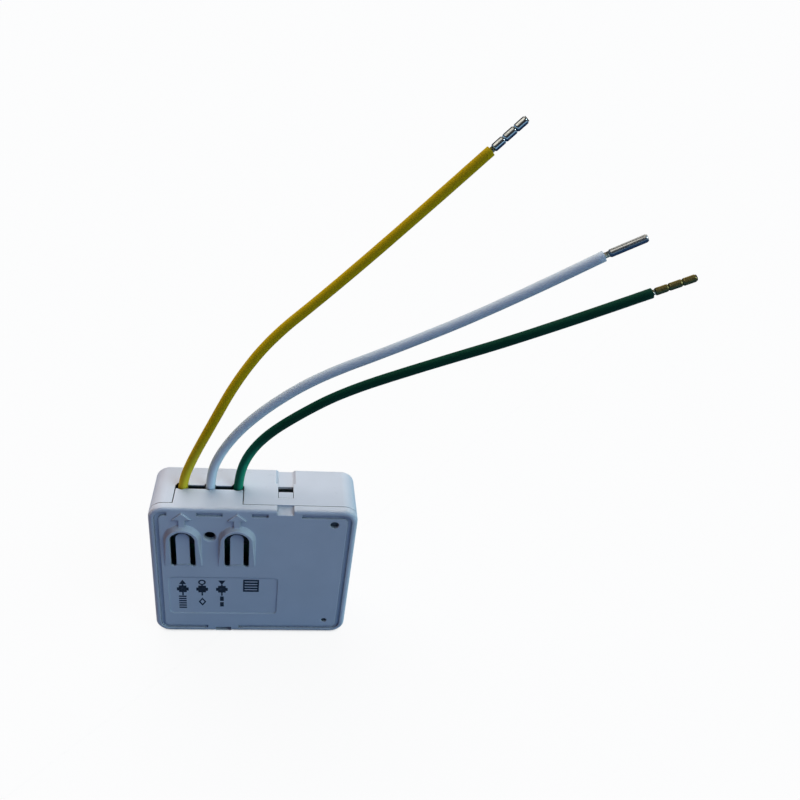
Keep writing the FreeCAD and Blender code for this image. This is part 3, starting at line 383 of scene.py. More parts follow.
@dataclass(frozen=True)
class Plated:
    """Plated sheet metal with rolling lines, small scratches, cloudy patches of a darker film, and that film
    painted as shade on the sides that face down.
    """

    name: str
    colour: Colour
    film: Colour
    roughness: float = 0.18
    lines: float = 0.05
    edge: float = 0.05 * MM
    # How much of the film is painted as shade on the sides that face down.
    below: float = 0.0
    # Upward part of the face's direction below which that painted shade begins.
    underside_shade_from: float = 0.0

    def material(self) -> Material:
        """Builds the material.

        Returns:
            The material.
        """
        coat = Coat(self.name)
        rounded = coat.soft_edges(self.edge)
        line = coat.noise(0.12 * MM, 3.0, coat.scaled(coat.place, (self.lines, 1.0, 1.0)))
        cloud = coat.noise(1.3 * MM, 3.0)
        scratch = coat.scratches(0.8 * MM, 0.03, coat.scaled(coat.place, (0.25, 1.0, 1.0)))
        # Painted shade: the sides that face down darken towards the film colour; the cloudy patches of film
        # are tarnish.
        upward = coat.flat("Z") + (cloud - 0.5) * 0.12
        below = upward.step(self.underside_shade_from, self.underside_shade_from - 0.18) * self.below
        colour = coat.mix(cloud.step(0.45, 0.8) * 0.3 | below, self.colour, self.film)
        colour = coat.mix(scratch * 0.3, colour, self.film)
        roughness = self.roughness + (line - 0.5) * 0.14 + cloud.step(0.5, 0.8) * 0.14
        height = line * 0.4 + cloud * 0.8 - scratch * 0.3
        return coat.close(colour, roughness, coat.bump(height, 0.006 * MM, rounded), Metallic=1.0,
                          Specular_Tint=(0.12, 0.14, 0.18))


@dataclass(frozen=True)
class Ink:
    """Dark marking ink with a slightly broken edge to its cover."""

    name: str
    colour: Colour
    ground: Colour

    def material(self) -> Material:
        """Builds the material.

        Returns:
            The material.
        """
        coat = Coat(self.name)
        wear = coat.noise(0.35 * MM, 3.0).step(0.55, 0.72) * 0.35
        return coat.close(coat.mix(wear, self.colour, self.ground), 0.6 + wear * 0.2,
                          coat.bump(coat.noise(0.2 * MM), 0.004 * MM), Specular_IOR_Level=0.2)


@dataclass(frozen=True)
class Spun:
    """Nickel-plated steel with fine rings about an axis along Y, and a few scratches."""

    name: str
    colour: Colour
    film: Colour
    axis: tuple[float, float]

    def material(self) -> Material:
        """Builds the material.

        Returns:
            The material.
        """
        coat = Coat(self.name)
        x, z = coat.at("X") - self.axis[0] * MM, coat.at("Z") - self.axis[1] * MM
        reach = (x * x + z * z) ** 0.5
        rings = coat.noise(0.16 * MM, 3.0, coat.joined(reach, coat.at("Y"), 0.0))
        cloud = coat.noise(5 * MM, 3.0)
        scratch = coat.scratches(2.6 * MM, 0.012) * cloud.step(0.4, 0.7)
        colour = coat.mix(cloud.step(0.4, 0.8) * 0.5 + scratch * 0.4, self.colour, self.film)
        roughness = 0.26 + (rings - 0.5) * 0.24 + cloud.step(0.5, 0.8) * 0.1
        shaded = coat.bump(rings, 0.004 * MM, coat.soft_edges(0.12 * MM))
        return coat.close(colour, roughness, shaded, Metallic=1.0)


@dataclass(frozen=True)
class Lacquer:
    """The board: glossy lacquer on its two faces and the bare laminate on its edges."""

    name: str
    colour: Colour
    laminate: Colour

    def material(self) -> Material:
        """Builds the material.

        Returns:
            The material.
        """
        coat = Coat(self.name)
        edge = abs(coat.flat("Y")).step(0.7, 0.4)
        weave = coat.noise(0.5 * MM, 1.0, coat.scaled(coat.place, (1.0, 1.0, 0.2)))
        cloud = coat.noise(4 * MM, 3.0)
        colour = coat.mix(cloud.step(0.35, 0.7) * 0.6 + weave * 0.3, self.colour, shade(self.colour, 1.35))
        colour = coat.mix(edge, colour, coat.mix(weave, self.laminate, shade(self.laminate, 0.6)))
        return coat.close(colour, 0.22 + edge * 0.5 + cloud * 0.1, coat.bump(weave + cloud, 0.006 * MM))


@dataclass(frozen=True)
class Package:
    """Black moulded chips with a fine grain and a round dimple at the first corner."""

    name: str
    colour: Colour
    dots: Spots

    def material(self) -> Material:
        """Builds the material.

        Returns:
            The material.
        """
        coat = Coat(self.name)
        masks = []
        for dot_x, dot_z in self.dots:
            x, z = coat.at("X") - dot_x * MM, coat.at("Z") - dot_z * MM
            masks.append(((x * x + z * z) ** 0.5).step(0.28 * MM, 0.22 * MM))
        dot = masks[0] | masks[1]
        grain = coat.noise(0.08 * MM)
        colour = coat.mix(dot * 0.8 + grain * 0.2, self.colour, shade(self.colour, 2.6))
        return coat.close(colour, 0.55 + (grain - 0.5) * 0.2 - dot * 0.25,
                          coat.bump(grain * 0.3 - dot, 0.02 * MM, coat.soft_edges(0.08 * MM)))


@dataclass(frozen=True)
class Capped:
    """Small board parts: a body between two tinned end caps."""

    name: str
    colour: Colour
    middle: float
    tin: Colour = (0.60, 0.60, 0.61)

    def material(self) -> Material:
        """Builds the material.

        Returns:
            The material.
        """
        coat = Coat(self.name)
        cap = abs(coat.at("X") - self.middle * MM).step(0.46 * MM, 0.52 * MM)
        grain = coat.noise(0.12 * MM)
        body = coat.mix(grain, shade(self.colour, 0.8), shade(self.colour, 1.15))
        return coat.close(coat.mix(cap, body, self.tin), 0.55 - cap * 0.25 + (grain - 0.5) * 0.15,
                          coat.bump(grain * 0.4 + cap, 0.012 * MM, coat.soft_edges(0.06 * MM)), Metallic=cap)


@dataclass(frozen=True)
class Resin:
    """The pilot light: a glossy resin lens in front of its base, both painted dark as shade in the light
    hole.
    """

    name: str
    colour: Colour
    base: Colour
    border: float

    def material(self) -> Material:
        """Builds the material.

        Returns:
            The material.
        """
        coat = Coat(self.name)
        lens = coat.at("Y").step((self.border + 0.02) * MM, (self.border - 0.02) * MM)
        cloud = coat.noise(0.5 * MM)
        tint = coat.mix(cloud.step(0.3, 0.8), self.colour, shade(self.colour, 0.8))
        return coat.close(coat.mix(lens, self.base, tint), 0.5 - lens * 0.4 + (cloud - 0.5) * 0.1,
                          coat.bump(cloud, 0.004 * MM, coat.soft_edges(0.08 * MM)), Coat_Weight=lens)


class Finish(Enum):
    """The module's finishes, one material each."""

    # The boxes are recesses painted with shade: the two tongue slots, the light hole, two dimples and the
    # slot behind the tab.
    SHELL = Moulded("shell_white", (0.70, 0.72, 0.76), recesses=(
        ((-17.9, -5.95, 21.0), (-12.2, -3.9, 33.0)), ((-6.4, -5.95, 21.0), (-0.7, -3.9, 33.0)),
        ((-10.7, -5.3, 29.4), (-7.9, -3.9, 32.6)), ((15.9, -5.72, 34.0), (18.2, -3.9, 36.2)),
        ((16.2, -5.72, 3.5), (17.9, -3.9, 5.2)), ((-17.1, -0.35, 34.0), (-2.4, 1.15, 38.8)),
    ))
    # Each lead's third colour is painted light near its root.
    YELLOW = Insulation("insulation_yellow", (0.65, 0.43, 0.003), (0.71, 0.49, 0.008), (0.90, 0.72, 0.04),
                        shine=0.1)
    WHITE = Insulation("insulation_white", (0.70, 0.79, 0.82), (0.74, 0.84, 0.88), (0.86, 0.98, 1.0))
    GREEN = Insulation("insulation_green", (0.001, 0.042, 0.020), (0.002, 0.062, 0.033), (0.012, 0.29, 0.15),
                       shine=0.12)
    # The three metal ends of the leads are painted with shade on their lower sides.
    TINNED = Plated("tinned_sleeve", (0.80, 0.80, 0.78), (0.05, 0.07, 0.11), 0.14, below=1.0)
    SATIN = Plated("tinned_sleeve_plain", (0.90, 0.90, 0.90), (0.05, 0.07, 0.11), 0.28, below=1.0,
                   underside_shade_from=0.25)
    BRASS = Plated("brass_sleeve", (0.42, 0.33, 0.12), (0.07, 0.075, 0.04), 0.36, below=1.0, underside_shade_from=0.3)
    STRANDS = Plated("copper_strands", (0.40, 0.36, 0.29), (0.20, 0.16, 0.11), 0.28)
    INK = Ink("print_dark", (0.014, 0.020, 0.034), (0.16, 0.19, 0.25))
    BLACK = Moulded("switch_black", (0.022, 0.022, 0.024), 0.5, dust=0.0)
    BUTTON = Moulded("switch_button", (0.09, 0.09, 0.095), 0.45, dust=0.0)
    SEAL = Moulded("gasket_dark", (0.04, 0.04, 0.045), 0.55, dust=0.0)
    STEEL = Plated("sheet_steel", (0.30, 0.30, 0.31), (0.18, 0.18, 0.19), 0.34)
    # The switch frames' steel is painted near black as shade behind the tongue slots.
    DULL_STEEL = Plated("sheet_steel_shaded", (0.05, 0.05, 0.052), (0.03, 0.03, 0.032), 0.5)
    CASE = Plated("crystal_case", (0.62, 0.62, 0.63), (0.42, 0.42, 0.44), 0.2)
    COPPER = Plated("board_copper", (0.55, 0.36, 0.17), (0.34, 0.21, 0.1), 0.3)
    SOLDER = Plated("solder", (0.55, 0.56, 0.58), (0.33, 0.34, 0.36), 0.22, 1.0)
    CELL = Spun("cell_steel", (0.58, 0.58, 0.59), (0.40, 0.40, 0.41), CELL_AXIS)
    CAP = Spun("cell_cap", (0.60, 0.60, 0.61), (0.42, 0.42, 0.43), CELL_AXIS)
    LACQUER = Lacquer("board_green", (0.010, 0.115, 0.045), (0.42, 0.36, 0.20))
    TRACK = Lacquer("board_green_raised", (0.022, 0.19, 0.08), (0.022, 0.19, 0.08))
    CHIP = Package("chip_black", (0.018, 0.018, 0.02), ((-16.0, 27.0), (-15.6, 19.1)))
    CERAMIC = Capped("ceramic_tan", (0.40, 0.27, 0.15), -18.0)
    RESISTOR = Capped("resistor_black", (0.025, 0.025, 0.028), -10.0)
    # The lens and base are painted near black as shade in the light hole.
    LAMP = Resin("lamp_clear", (0.030, 0.028, 0.026), (0.08, 0.08, 0.08), -1.72)

    def material(self) -> Material:
        """The finish's material, made once."""
        return bpy.data.materials.get(f"{self.value.name}_finish") or self.value.material()


class Draft:
    """Collects the faces of one piece and turns them into an object."""

    def __init__(self) -> None:
        """Starts empty."""
        self.mesh = bmesh.new()
        self.lay = self.mesh.loops.layers.uv.new("lay")

    def skin(self, rings: Sequence[Sequence[Vector]], caps: bool = True, along: Sequence[float] = ()) -> None:
        """Lays faces over a stack of closed rings.

        Args:
            rings: Rings of equally many points.
            caps: Closes both ends.
            along: The rings' places along the piece, for its own coordinates.
        """
        rows = [[self.mesh.verts.new(point) for point in ring] for ring in rings]
        count = len(rows[0])
        for i, (low, high) in enumerate(zip(rows, rows[1:])):
            for j in range(count):
                k = (j + 1) % count
                face = self.mesh.faces.new((low[j], low[k], high[k], high[j]))
                if along:
                    spots = ((i, j), (i, j + 1), (i + 1, j + 1), (i + 1, j))
                    for loop, (row, column) in zip(face.loops, spots):
                        loop[self.lay].uv = (along[row], column / count)
        if caps:
            self.mesh.faces.new(list(reversed(rows[0])))
            self.mesh.faces.new(rows[-1])

    def slab(self, outline: Sequence[tuple[float, float]], place: Matrix, thick: float) -> None:
        """Raises an outline in the placement's X and Y by a thickness along its Z."""
        self.skin([[place @ Vector((x, y, level)) for x, y in outline] for level in (0.0, thick)])

    def piece(self, name: str, finish: Finish, smooth: float = 40.0) -> Thing:
        """Makes the object.

        Args:
            name: The piece's name.
            finish: Its finish.
            smooth: Edges turned by less than this many degrees are shaded smooth.

        Returns:
            The object, in place and riding on the module.
        """
        bmesh.ops.recalc_face_normals(self.mesh, faces=self.mesh.faces)
        data = bpy.data.meshes.new(name)
        self.mesh.to_mesh(data)
        self.mesh.free()
        data.shade_smooth()
        data.set_sharp_from_angle(angle=math.radians(smooth))
        data.materials.append(finish.material())
        thing = bpy.data.objects.new(name, data)
        bpy.context.scene.collection.objects.link(thing)
        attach(thing, "module")
        log.info("%s: %d faces", name, len(data.polygons))
        return thing


def dress(finish: Finish, *nodes: str) -> None:
    """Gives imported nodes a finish.

    Args:
        finish: The finish of their surface.
        *nodes: Names of the nodes.
    """
    for name in nodes:
        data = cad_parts[name].data
        data.materials.clear()
        data.materials.append(finish.material())
        log.info("%s: %s", name, finish.value.name)


def ring_about(centre: Vector, across: Vector, over: Vector, radii: Sequence[float]) -> list[Vector]:
    """A closed ring of points at distances from a centre, from the direction across over to the one over."""
    turns = [math.tau * i / len(radii) for i in range(len(radii))]
    return [centre + (across * math.cos(turn) + over * math.sin(turn)) * r for turn, r in zip(turns, radii)]


def disc(x: float, y: float, z: float, reach: float, sides: int = RING_SIDES) -> list[Vector]:
    """A ring of points about a line along Y, from sizes in millimetres."""
    return ring_about(Vector((x, y, z)) * MM, Vector((1, 0, 0)), Vector((0, 0, 1)), [reach * MM] * sides)


@dataclass
class Track:
    """A line in space with a steady pair of directions across it."""

    points: list[Vector]
    start_across: Point | Vector = (1.0, 0.0, 0.0)

    def __post_init__(self) -> None:
        """Carries the directions along the line without twist."""
        self.along = [0.0]
        for one, other in zip(self.points, self.points[1:]):
            self.along.append(self.along[-1] + (other - one).length)
        spread = [self.points[0], *self.points, self.points[-1]]
        self.ways = [(after - before).normalized() for before, after in zip(spread, spread[2:])]
        across = Vector(self.start_across)
        self.frames: list[tuple[Vector, Vector]] = []
        for way in self.ways:
            across = (across - way * across.dot(way)).normalized()
            self.frames.append((across, way.cross(across)))

    def ring(self, i: int, radii: Sequence[float]) -> list[Vector]:
        """A ring across the line at its point i."""
        return ring_about(self.points[i], *self.frames[i], radii)


class Tip(Enum):
    """How a lead's metal end is made."""

    CRIMPED = 3
    PLAIN = 1


@dataclass
class Lead:
    """A stiff lead: insulation, bare strands and a metal end."""

    name: str
    side: float
    route: tuple[Point, ...]
    finish: Finish
    metal: Finish
    tip: Tip
    bare: float
    sleeve: float
    bend: Point = (0.0, 0.0, 0.0)
    setback: float = 0.75
    top: float = 39.0
    inside: float = 4.2
    thick: float = 2.0
    strand: float = 1.1
    strands_round: int = 6
    tail_bend: float = 0.55
    end_pitch: float = 2.6
    tail_pitch: float = 5.0
    overlap: float = 0.3
    sleeve_thick: float = 1.5
    cut_edge: Spots = ((0.0, 0.09), (0.02, 0.03), (0.08, 0.0))
    pinch: float = 0.2
    pinch_reach: float = 0.3
    rim: float = 0.16
    rim_reach: float = 0.35
    facet: float = 0.025
    facet_reach: float = 0.8
    slack: float = 0.02
    seam: float = 0.07
    seam_turn: float = 1.15
    seam_spread: float = 0.07
    mouth: Spots = ((0.0, 0.80), (0.05, 0.62), (0.35, 0.55))
    mouth_ring: float = 0.27
    strand_end: Spots = ((0.0, 0.13), (0.16, 0.13), (0.2, 0.09))
    waves: Spots = ((0.006, 310.0), (0.004, 947.0))

    def build(self) -> None:
        spline = self.lay_out()
        tube = self.insulate(spline)
        strands = self.twist(spline)
        end = self.crimp(spline)
        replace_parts(tube, f"{self.name}_lead")
        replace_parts(strands, f"{self.name}_core")
        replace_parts(end, f"{self.name}_ferrule")

    def lay_out(self) -> Track:
        """Reads the smooth line that the route's points pull on.

        Returns:
            The line, in metres.
        """
        leave = Vector((self.side, self.setback, self.top))
        controls = [leave - Vector((0.0, 0.0, self.inside))] + [leave + Vector(point) for point in self.route]
        curve = bpy.data.curves.new(f"{self.name}_route", "CURVE")
        curve.dimensions = "3D"
        curve.resolution_u = 24
        line = curve.splines.new("NURBS")
        line.points.add(len(controls) - 1)
        for spot, point in zip(line.points, controls):
            spot.co = (*(point * MM), 1.0)
        line.order_u = 3
        line.use_endpoint_u = True
        carrier = bpy.data.objects.new(f"{self.name}_route", curve)
        bpy.context.scene.collection.objects.link(carrier)
        bpy.context.view_layer.update()
        drawn = bpy.data.meshes.new_from_object(carrier)
        points = [vertex.co.copy() for vertex in drawn.vertices]
        bpy.data.meshes.remove(drawn)
        bpy.data.objects.remove(carrier)
        return Track(points)

    def end_line(self, spline: Track, reach: float, steps: int) -> Track:
        """A straight line out of the insulation's far end, tilted by the bend at the metal end's tip.

        Args:
            spline: Line of the lead.
            reach: Length of the line, in millimetres.
            steps: Number of its stretches.

        Returns:
            The line.
        """
        way = (spline.ways[-1] * (self.bare + self.sleeve) + Vector(self.bend)).normalized()
        points = [spline.points[-1] + way * reach * MM * i / steps for i in range(steps + 1)]
        return Track(points, spline.frames[-1][0])

    def insulate(self, spline: Track) -> Thing:
        """Makes the insulation: a tube with softly cut ends.

        Args:
            spline: Line of the lead.

        Returns:
            The tube.
        """
        draft = Draft()
        radius = self.thick / 2 * MM
        rings, along = [], []
        last = len(spline.points) - 1
        (deep, slow), (shallow, quick) = self.waves
        for i, place in enumerate(spline.along):
            waver = 1.0 + deep * math.sin(place * slow) + shallow * math.sin(place * quick + self.side)
            cut = self.cut_edge if i == 0 else self.cut_edge[::-1] if i == last else ((0.0, 0.0),)
            inward = spline.ways[i] * (-MM if i == last else MM)
            for reach, dip in cut:
                middle = spline.points[i] + inward * reach
                rings.append(ring_about(middle, *spline.frames[i], [radius * waver - dip * MM] * RING_SIDES))
                along.append(place + (-reach if i == last else reach) * MM)
        draft.skin(rings, along=along)
        return draft.piece(f"{self.name}_insulation", self.finish)

    def twist(self, spline: Track) -> Thing:
        """Makes the bare strands: a short twisted bundle and the tail that goes through the board.

        Args:
            spline: Line of the lead.

        Returns:
            The strands of both ends.
        """
        draft = Draft()
        self.bundle(draft, self.end_line(spline, self.bare + self.overlap, 14), self.end_pitch * MM)
        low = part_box(f"{self.name}_core")[0]
        x, y, bend = self.side * MM, self.setback * MM, self.tail_bend * MM
        level = low.z + self.strand / 2 * MM
        top = (self.top - self.inside) * MM
        points = [Vector((x, y, top + (level + bend - top) * i / 4)) for i in range(5)]
        for i in range(1, 7):
            turn = math.pi / 2 * i / 6
            points.append(Vector((x, y - bend * (1 - math.cos(turn)), level + bend * (1 - math.sin(turn)))))
        points += [Vector((x, y - bend + (low.y - y + bend) * i / 8, level)) for i in range(1, 9)]
        self.bundle(draft, Track(points), self.tail_pitch * MM)
        return draft.piece(f"{self.name}_strands", Finish.STRANDS)

    def bundle(self, draft: Draft, track: Track, pitch: float) -> None:
        """Twists strands about a straight one.

        Args:
            draft: Takes the strands.
            track: Line of the bundle.
            pitch: Length of one full turn.
        """
        fine = self.strand / 6 * MM
        for number in range(self.strands_round + 1):
            off = fine * 2 if number else 0.0
            points = []
            for i, place in enumerate(track.along):
                across, over = track.frames[i]
                turn = math.tau * (number / self.strands_round + place / pitch)
                points.append(track.points[i] + (across * math.cos(turn) + over * math.sin(turn)) * off)
            strand = Track(points)
            draft.skin([strand.ring(i, [fine] * 8) for i in range(len(points))])

    def crimp(self, spline: Track, steps: int = 72, count: int = 48) -> Thing:
        """Makes the metal end: rolled sheet, pressed into rounded segments or left plain, with an open mouth.

        Args:
            spline: Line of the lead.
            steps: Number of stretches along the end.
            count: Number of points round it.

        Returns:
            The metal end.
        """
        draft = Draft()
        line = self.end_line(spline, self.bare, 1)
        way, start = line.ways[-1], line.points[-1]
        across, over = line.frames[-1]
        length, radius = self.sleeve * MM, self.sleeve_thick / 2 * MM
        parts = self.tip.value
        pressed = parts > 1
        rings = []
        for i in range(steps + 1):
            place = length * i / steps
            share = place / length * parts % 1.0
            inner = min(share, 1.0 - share) * length / parts
            near = min(place, length - place)
            depth = pressed * self.pinch * MM * max(0.0, 1.0 - inner / (self.pinch_reach * MM)) ** 1.6
            depth += self.rim * MM * max(0.0, 1.0 - near / (self.rim_reach * MM)) ** 2
            facets = pressed * self.facet * MM * min(1.0, near / (self.facet_reach * MM))
            radii = []
            for j in range(count):
                turn = math.tau * j / count
                seam = self.seam * MM * math.exp(-((turn - self.seam_turn) / self.seam_spread) ** 2)
                radii.append(radius - self.slack * MM - depth - seam + facets * math.cos(4 * turn))
            rings.append(ring_about(start + way * place, across, over, radii))
        for sunk, share in self.mouth:
            centre = start + way * (length - sunk * MM)
            rings.append(ring_about(centre, across, over, [radius * share] * count))
        draft.skin(rings)
        self.fill(draft, start + way * (length - self.overlap * MM), way, across, over)
        name = "crimped_end" if pressed else "sleeve"
        return draft.piece(f"{self.name}_{name}", self.metal)

    def fill(self, draft: Draft, centre: Vector, way: Vector, across: Vector, over: Vector) -> None:
        """Adds the strand ends that show in the open mouth of the metal end.

        Args:
            draft: Takes the strand ends.
            centre: Their middle.
            way: Direction out of the mouth.
            across: A direction across it.
            over: The direction across both.
        """
        for spot in (centre, *ring_about(centre, across, over, [self.mouth_ring * MM] * self.strands_round)):
            draft.skin([ring_about(spot + way * rise * MM, across, over, [reach * MM] * 8)
                        for rise, reach in self.strand_end])


class Symbol(Enum):
    """The plain signs over the three leads."""

    RAISE = "triangle up"
    STOP = "ring"
    LOWER = "triangle down"


@dataclass
class Housing:
    """The two shells, the push tongues and the plain signs in the marking panel."""

    panel_level: float = -6.15
    rise: float = 0.02
    block: tuple[Point, ...] = ((1.3, 13.9, 14.9), (0.85, 14.9, 15.55), (0.85, 13.35, 13.9))
    stem: float = 0.16
    sign_level: float = 16.65
    blind: Point = (-2.05, 1.5, 13.7)
    slat: float = 0.55
    slat_step: float = 0.86
    side_bar: float = 0.35
    coil_step: float = 0.75
    signs: tuple[tuple[Symbol, float], ...] = (
        (Symbol.RAISE, -15.5), (Symbol.STOP, -11.2), (Symbol.LOWER, -6.8),
    )

    def build(self) -> None:
        """Dresses the shells and lays the signs."""
        dress(Finish.SHELL, "rear_shell", "front_cover", "left_push_tongue", "right_push_tongue")
        self.mark()

    def plane(self, x: float, z: float) -> Matrix:
        """The panel's floor at a place, with its Z to the front."""
        spot = Vector((x, self.panel_level, z)) * MM
        return Matrix.Translation(spot) @ Matrix.Rotation(math.pi / 2, 4, "X") @ Matrix.Scale(MM, 4)

    def mark(self) -> None:
        """Lays the signs: three columns with a terminal block and a foot, and a slatted blind."""
        draft = Draft()
        for symbol, x in self.signs:
            self.sign(draft, symbol, x)
            for half, low, high in (*self.block, (self.stem, 12.3, 13.35)):
                self.bar(draft, x - half, x + half, low, high)
            self.foot(draft, symbol, x)
        left, right, level = self.blind
        for i in range(5):
            low = level + self.slat_step * i
            self.bar(draft, left, right, low, low + self.slat)
        for x in (left, right - self.side_bar):
            for i in range(4):
                low = level + self.slat + self.slat_step * i
                self.bar(draft, x, x + self.side_bar, low, low + self.slat_step - self.slat)
        draft.piece("panel_signs", Finish.INK)

    def foot(self, draft: Draft, symbol: Symbol, x: float) -> None:
        """Lays the plain mark under a column: a coil of bars, a ring with four sides, or a pair of bars.

        Args:
            draft: Takes the mark.
            symbol: The column's sign.
            x: Middle of the column, in millimetres.
        """
        if symbol is Symbol.RAISE:
            for rise in (self.coil_step * i for i in range(6)):
                self.bar(draft, x - 0.95, x + 0.75, 8.0 + rise, 8.42 + rise)
        elif symbol is Symbol.STOP:
            corners = [(0.0, 1.35), (0.85, 0.0), (0.0, -1.35), (-0.85, 0.0)]
            for (x0, z0), (x1, z1) in zip(corners, corners[1:] + corners[:1]):
                ring = [(0.55 * x0, 0.55 * z0), (x0, z0), (x1, z1), (0.55 * x1, 0.55 * z1)]
                draft.slab(ring, self.plane(x, 10.2), self.rise)
        else:
            for low, high in ((8.6, 10.1), (10.5, 12.0)):
                self.bar(draft, x - 0.42, x + 0.42, low, high)

    def bar(self, draft: Draft, left: float, right: float, low: float, high: float) -> None:
        """Lays a printed rectangle."""
        draft.slab([(left, low), (right, low), (right, high), (left, high)], self.plane(0.0, 0.0), self.rise)

    def sign(self, draft: Draft, symbol: Symbol, x: float, sides: int = 24) -> None:
        """Lays a printed triangle or ring over a column, on a short stem.

        Args:
            draft: Takes the sign.
            symbol: What it shows.
            x: Middle of the column, in millimetres.
            sides: Number of sides of the ring.
        """
        place = self.plane(x, self.sign_level)
        if symbol is Symbol.STOP:
            for i in range(sides):
                turns = [math.tau * (i + step) / sides for step in (0, 1)]
                inner, outer = ([(r * math.cos(a), r * math.sin(a)) for a in turns] for r in (0.5, 0.85))
                draft.slab([inner[0], outer[0], outer[1], inner[1]], place, self.rise)
        else:
            way = 1.0 if symbol is Symbol.RAISE else -1.0
            corners = ((-0.8, -0.65), (0.8, -0.65), (0.0, 0.75))
            draft.slab([(x * way, y * way) for x, y in corners], place, self.rise)
        self.bar(draft, x - self.stem, x + self.stem, 15.55, 15.95)


@dataclass
class Board:
    """The circuit board with its tracks, pads, chips, small parts, aerial, light and soldered joints."""

    front: float = -1.3
    rear: float = -0.3
    rise: float = 0.03
    half_track: float = 0.13
    track_lap: float = 0.05
    track_end: float = 0.3
    joints: tuple[float, ...] = (-15.65, -9.75, -3.85)
    joint_level: float = 33.6
    joint_pad: tuple[float, float] = (0.72, 1.15)
    flare: float = 0.36
    leg_pitch: float = 0.5
    leg_half: float = 0.12
    leg_span: tuple[float, float] = (-0.05, 0.28)
    part_columns: tuple[float, float] = (-18.0, -10.0)
    part_levels: tuple[float, ...] = (26.5, 23.5, 19.0, 16.0)
    part_span: tuple[float, float] = (0.55, 0.98)
    part_half: float = 0.5
    part_rise: float = 0.06
    chips: tuple[tuple[float, float, float], ...] = ((-14.0, 25.0, 5.0), (-14.0, 17.5, 4.0))
    rear_tracks: tuple[Spots, ...] = (
        ((-15.65, 32.6), (-15.65, 29.6), (-13.6, 27.6)), ((-9.75, 32.6), (-9.75, 28.6), (-10.9, 27.5)),
        ((-3.85, 32.6), (-3.85, 28.0), (-6.9, 25.0), (-9.1, 25.0)), ((-16.6, 25.5), (-17.1, 25.9)),
        ((-11.4, 23.9), (-9.2, 23.5)), ((-14.9, 22.4), (-14.9, 21.8)), ((-13.1, 22.4), (-13.1, 21.8)),
        ((-14.9, 20.2), (-14.9, 19.6)), ((-13.1, 20.2), (-13.1, 19.6)), ((-16.1, 18.6), (-17.1, 18.9)),
        ((-11.9, 18.6), (-10.9, 18.9)), ((-11.9, 16.4), (-10.9, 16.1)), ((-16.1, 16.4), (-17.0, 16.1)),
        ((-14.0, 15.4), (-14.0, 14.4), (-18.5, 14.4), (-18.5, 13.0)),
        ((-9.1, 18.9), (-7.0, 18.9), (-6.2, 18.1)),
        ((-9.1, 26.5), (-5.6, 26.5), (-3.4, 24.3)), ((19.0, 21.0), (19.0, 28.5), (14.0, 33.5), (2.0, 33.5)),
        ((3.0, 30.5), (7.5, 30.5), (11.5, 28.9)), ((4.0, 5.2), (12.0, 5.2), (15.0, 6.2)),
    )
    front_tracks: tuple[Spots, ...] = (
        ((-17.9, 28.0), (-18.7, 28.0), (-18.7, 20.0)), ((-12.4, 29.6), (-11.2, 30.8), (-10.4, 31.0)),
        ((-8.2, 31.0), (-7.4, 30.8), (-6.2, 29.6)), ((-0.8, 28.0), (2.0, 28.0), (6.0, 24.0), (6.0, 12.0)),
        ((-0.8, 26.5), (1.2, 26.5), (4.4, 23.3), (4.4, 12.0)), ((-12.3, 26.4), (-9.3, 23.4), (-9.3, 12.0)),
        ((-17.8, 26.4), (-16.6, 25.2), (-16.6, 12.0)), ((-2.9, 33.0), (2.0, 32.4), (10.0, 24.4), (10.0, 9.0)),
        ((-6.1, 26.4), (-7.7, 24.8), (-7.7, 12.0)), ((12.0, 22.0), (12.0, 9.0)),
    )

    def build(self) -> None:
        """Dresses the board and adds its small pieces."""
        dress(Finish.LACQUER, "circuit_board")
        dress(Finish.CHIP, "microcontroller", "radio_chip")
        dress(Finish.CASE, "crystal")
        dress(Finish.CERAMIC, "capacitors")
        dress(Finish.RESISTOR, "resistors")
        dress(Finish.COPPER, "antenna_trace")
        dress(Finish.LAMP, "indicator_led")
        self.lay_tracks()
        self.lay_pads()
        self.solder()

    def pad(self, draft: Draft, left: float, right: float, low: float, high: float, rise: float) -> None:
        """Lays a thin plate on the board's rear face, from its edges in millimetres."""
        spots = ((left, low), (right, low), (right, high), (left, high))
        draft.skin([[Vector((x, y, z)) * MM for x, z in spots] for y in (self.rear, self.rear + rise)])

    def lay_tracks(self) -> None:
        """Lays the copper tracks under the lacquer, which stand up a little."""
        draft = Draft()
        for tracks, low in ((self.rear_tracks, self.rear), (self.front_tracks, self.front - self.rise)):
            levels = (low, low + self.rise)
            for track in tracks:
                for one, other in zip(track, track[1:]):
                    start, end = Vector(one), Vector(other)
                    way = (end - start).normalized()
                    side = Vector((-way.y, way.x)) * self.half_track
                    start, end = start - way * self.track_lap, end + way * self.track_lap
                    flat = [start - side, end - side, end + side, start + side]
                    draft.skin([[Vector((spot.x, y, spot.y)) * MM for spot in flat] for y in levels])
                for x, z in (track[0], track[-1]):
                    draft.skin([disc(x, y, z, self.track_end, 14) for y in levels])
        draft.piece("board_tracks", Finish.TRACK)

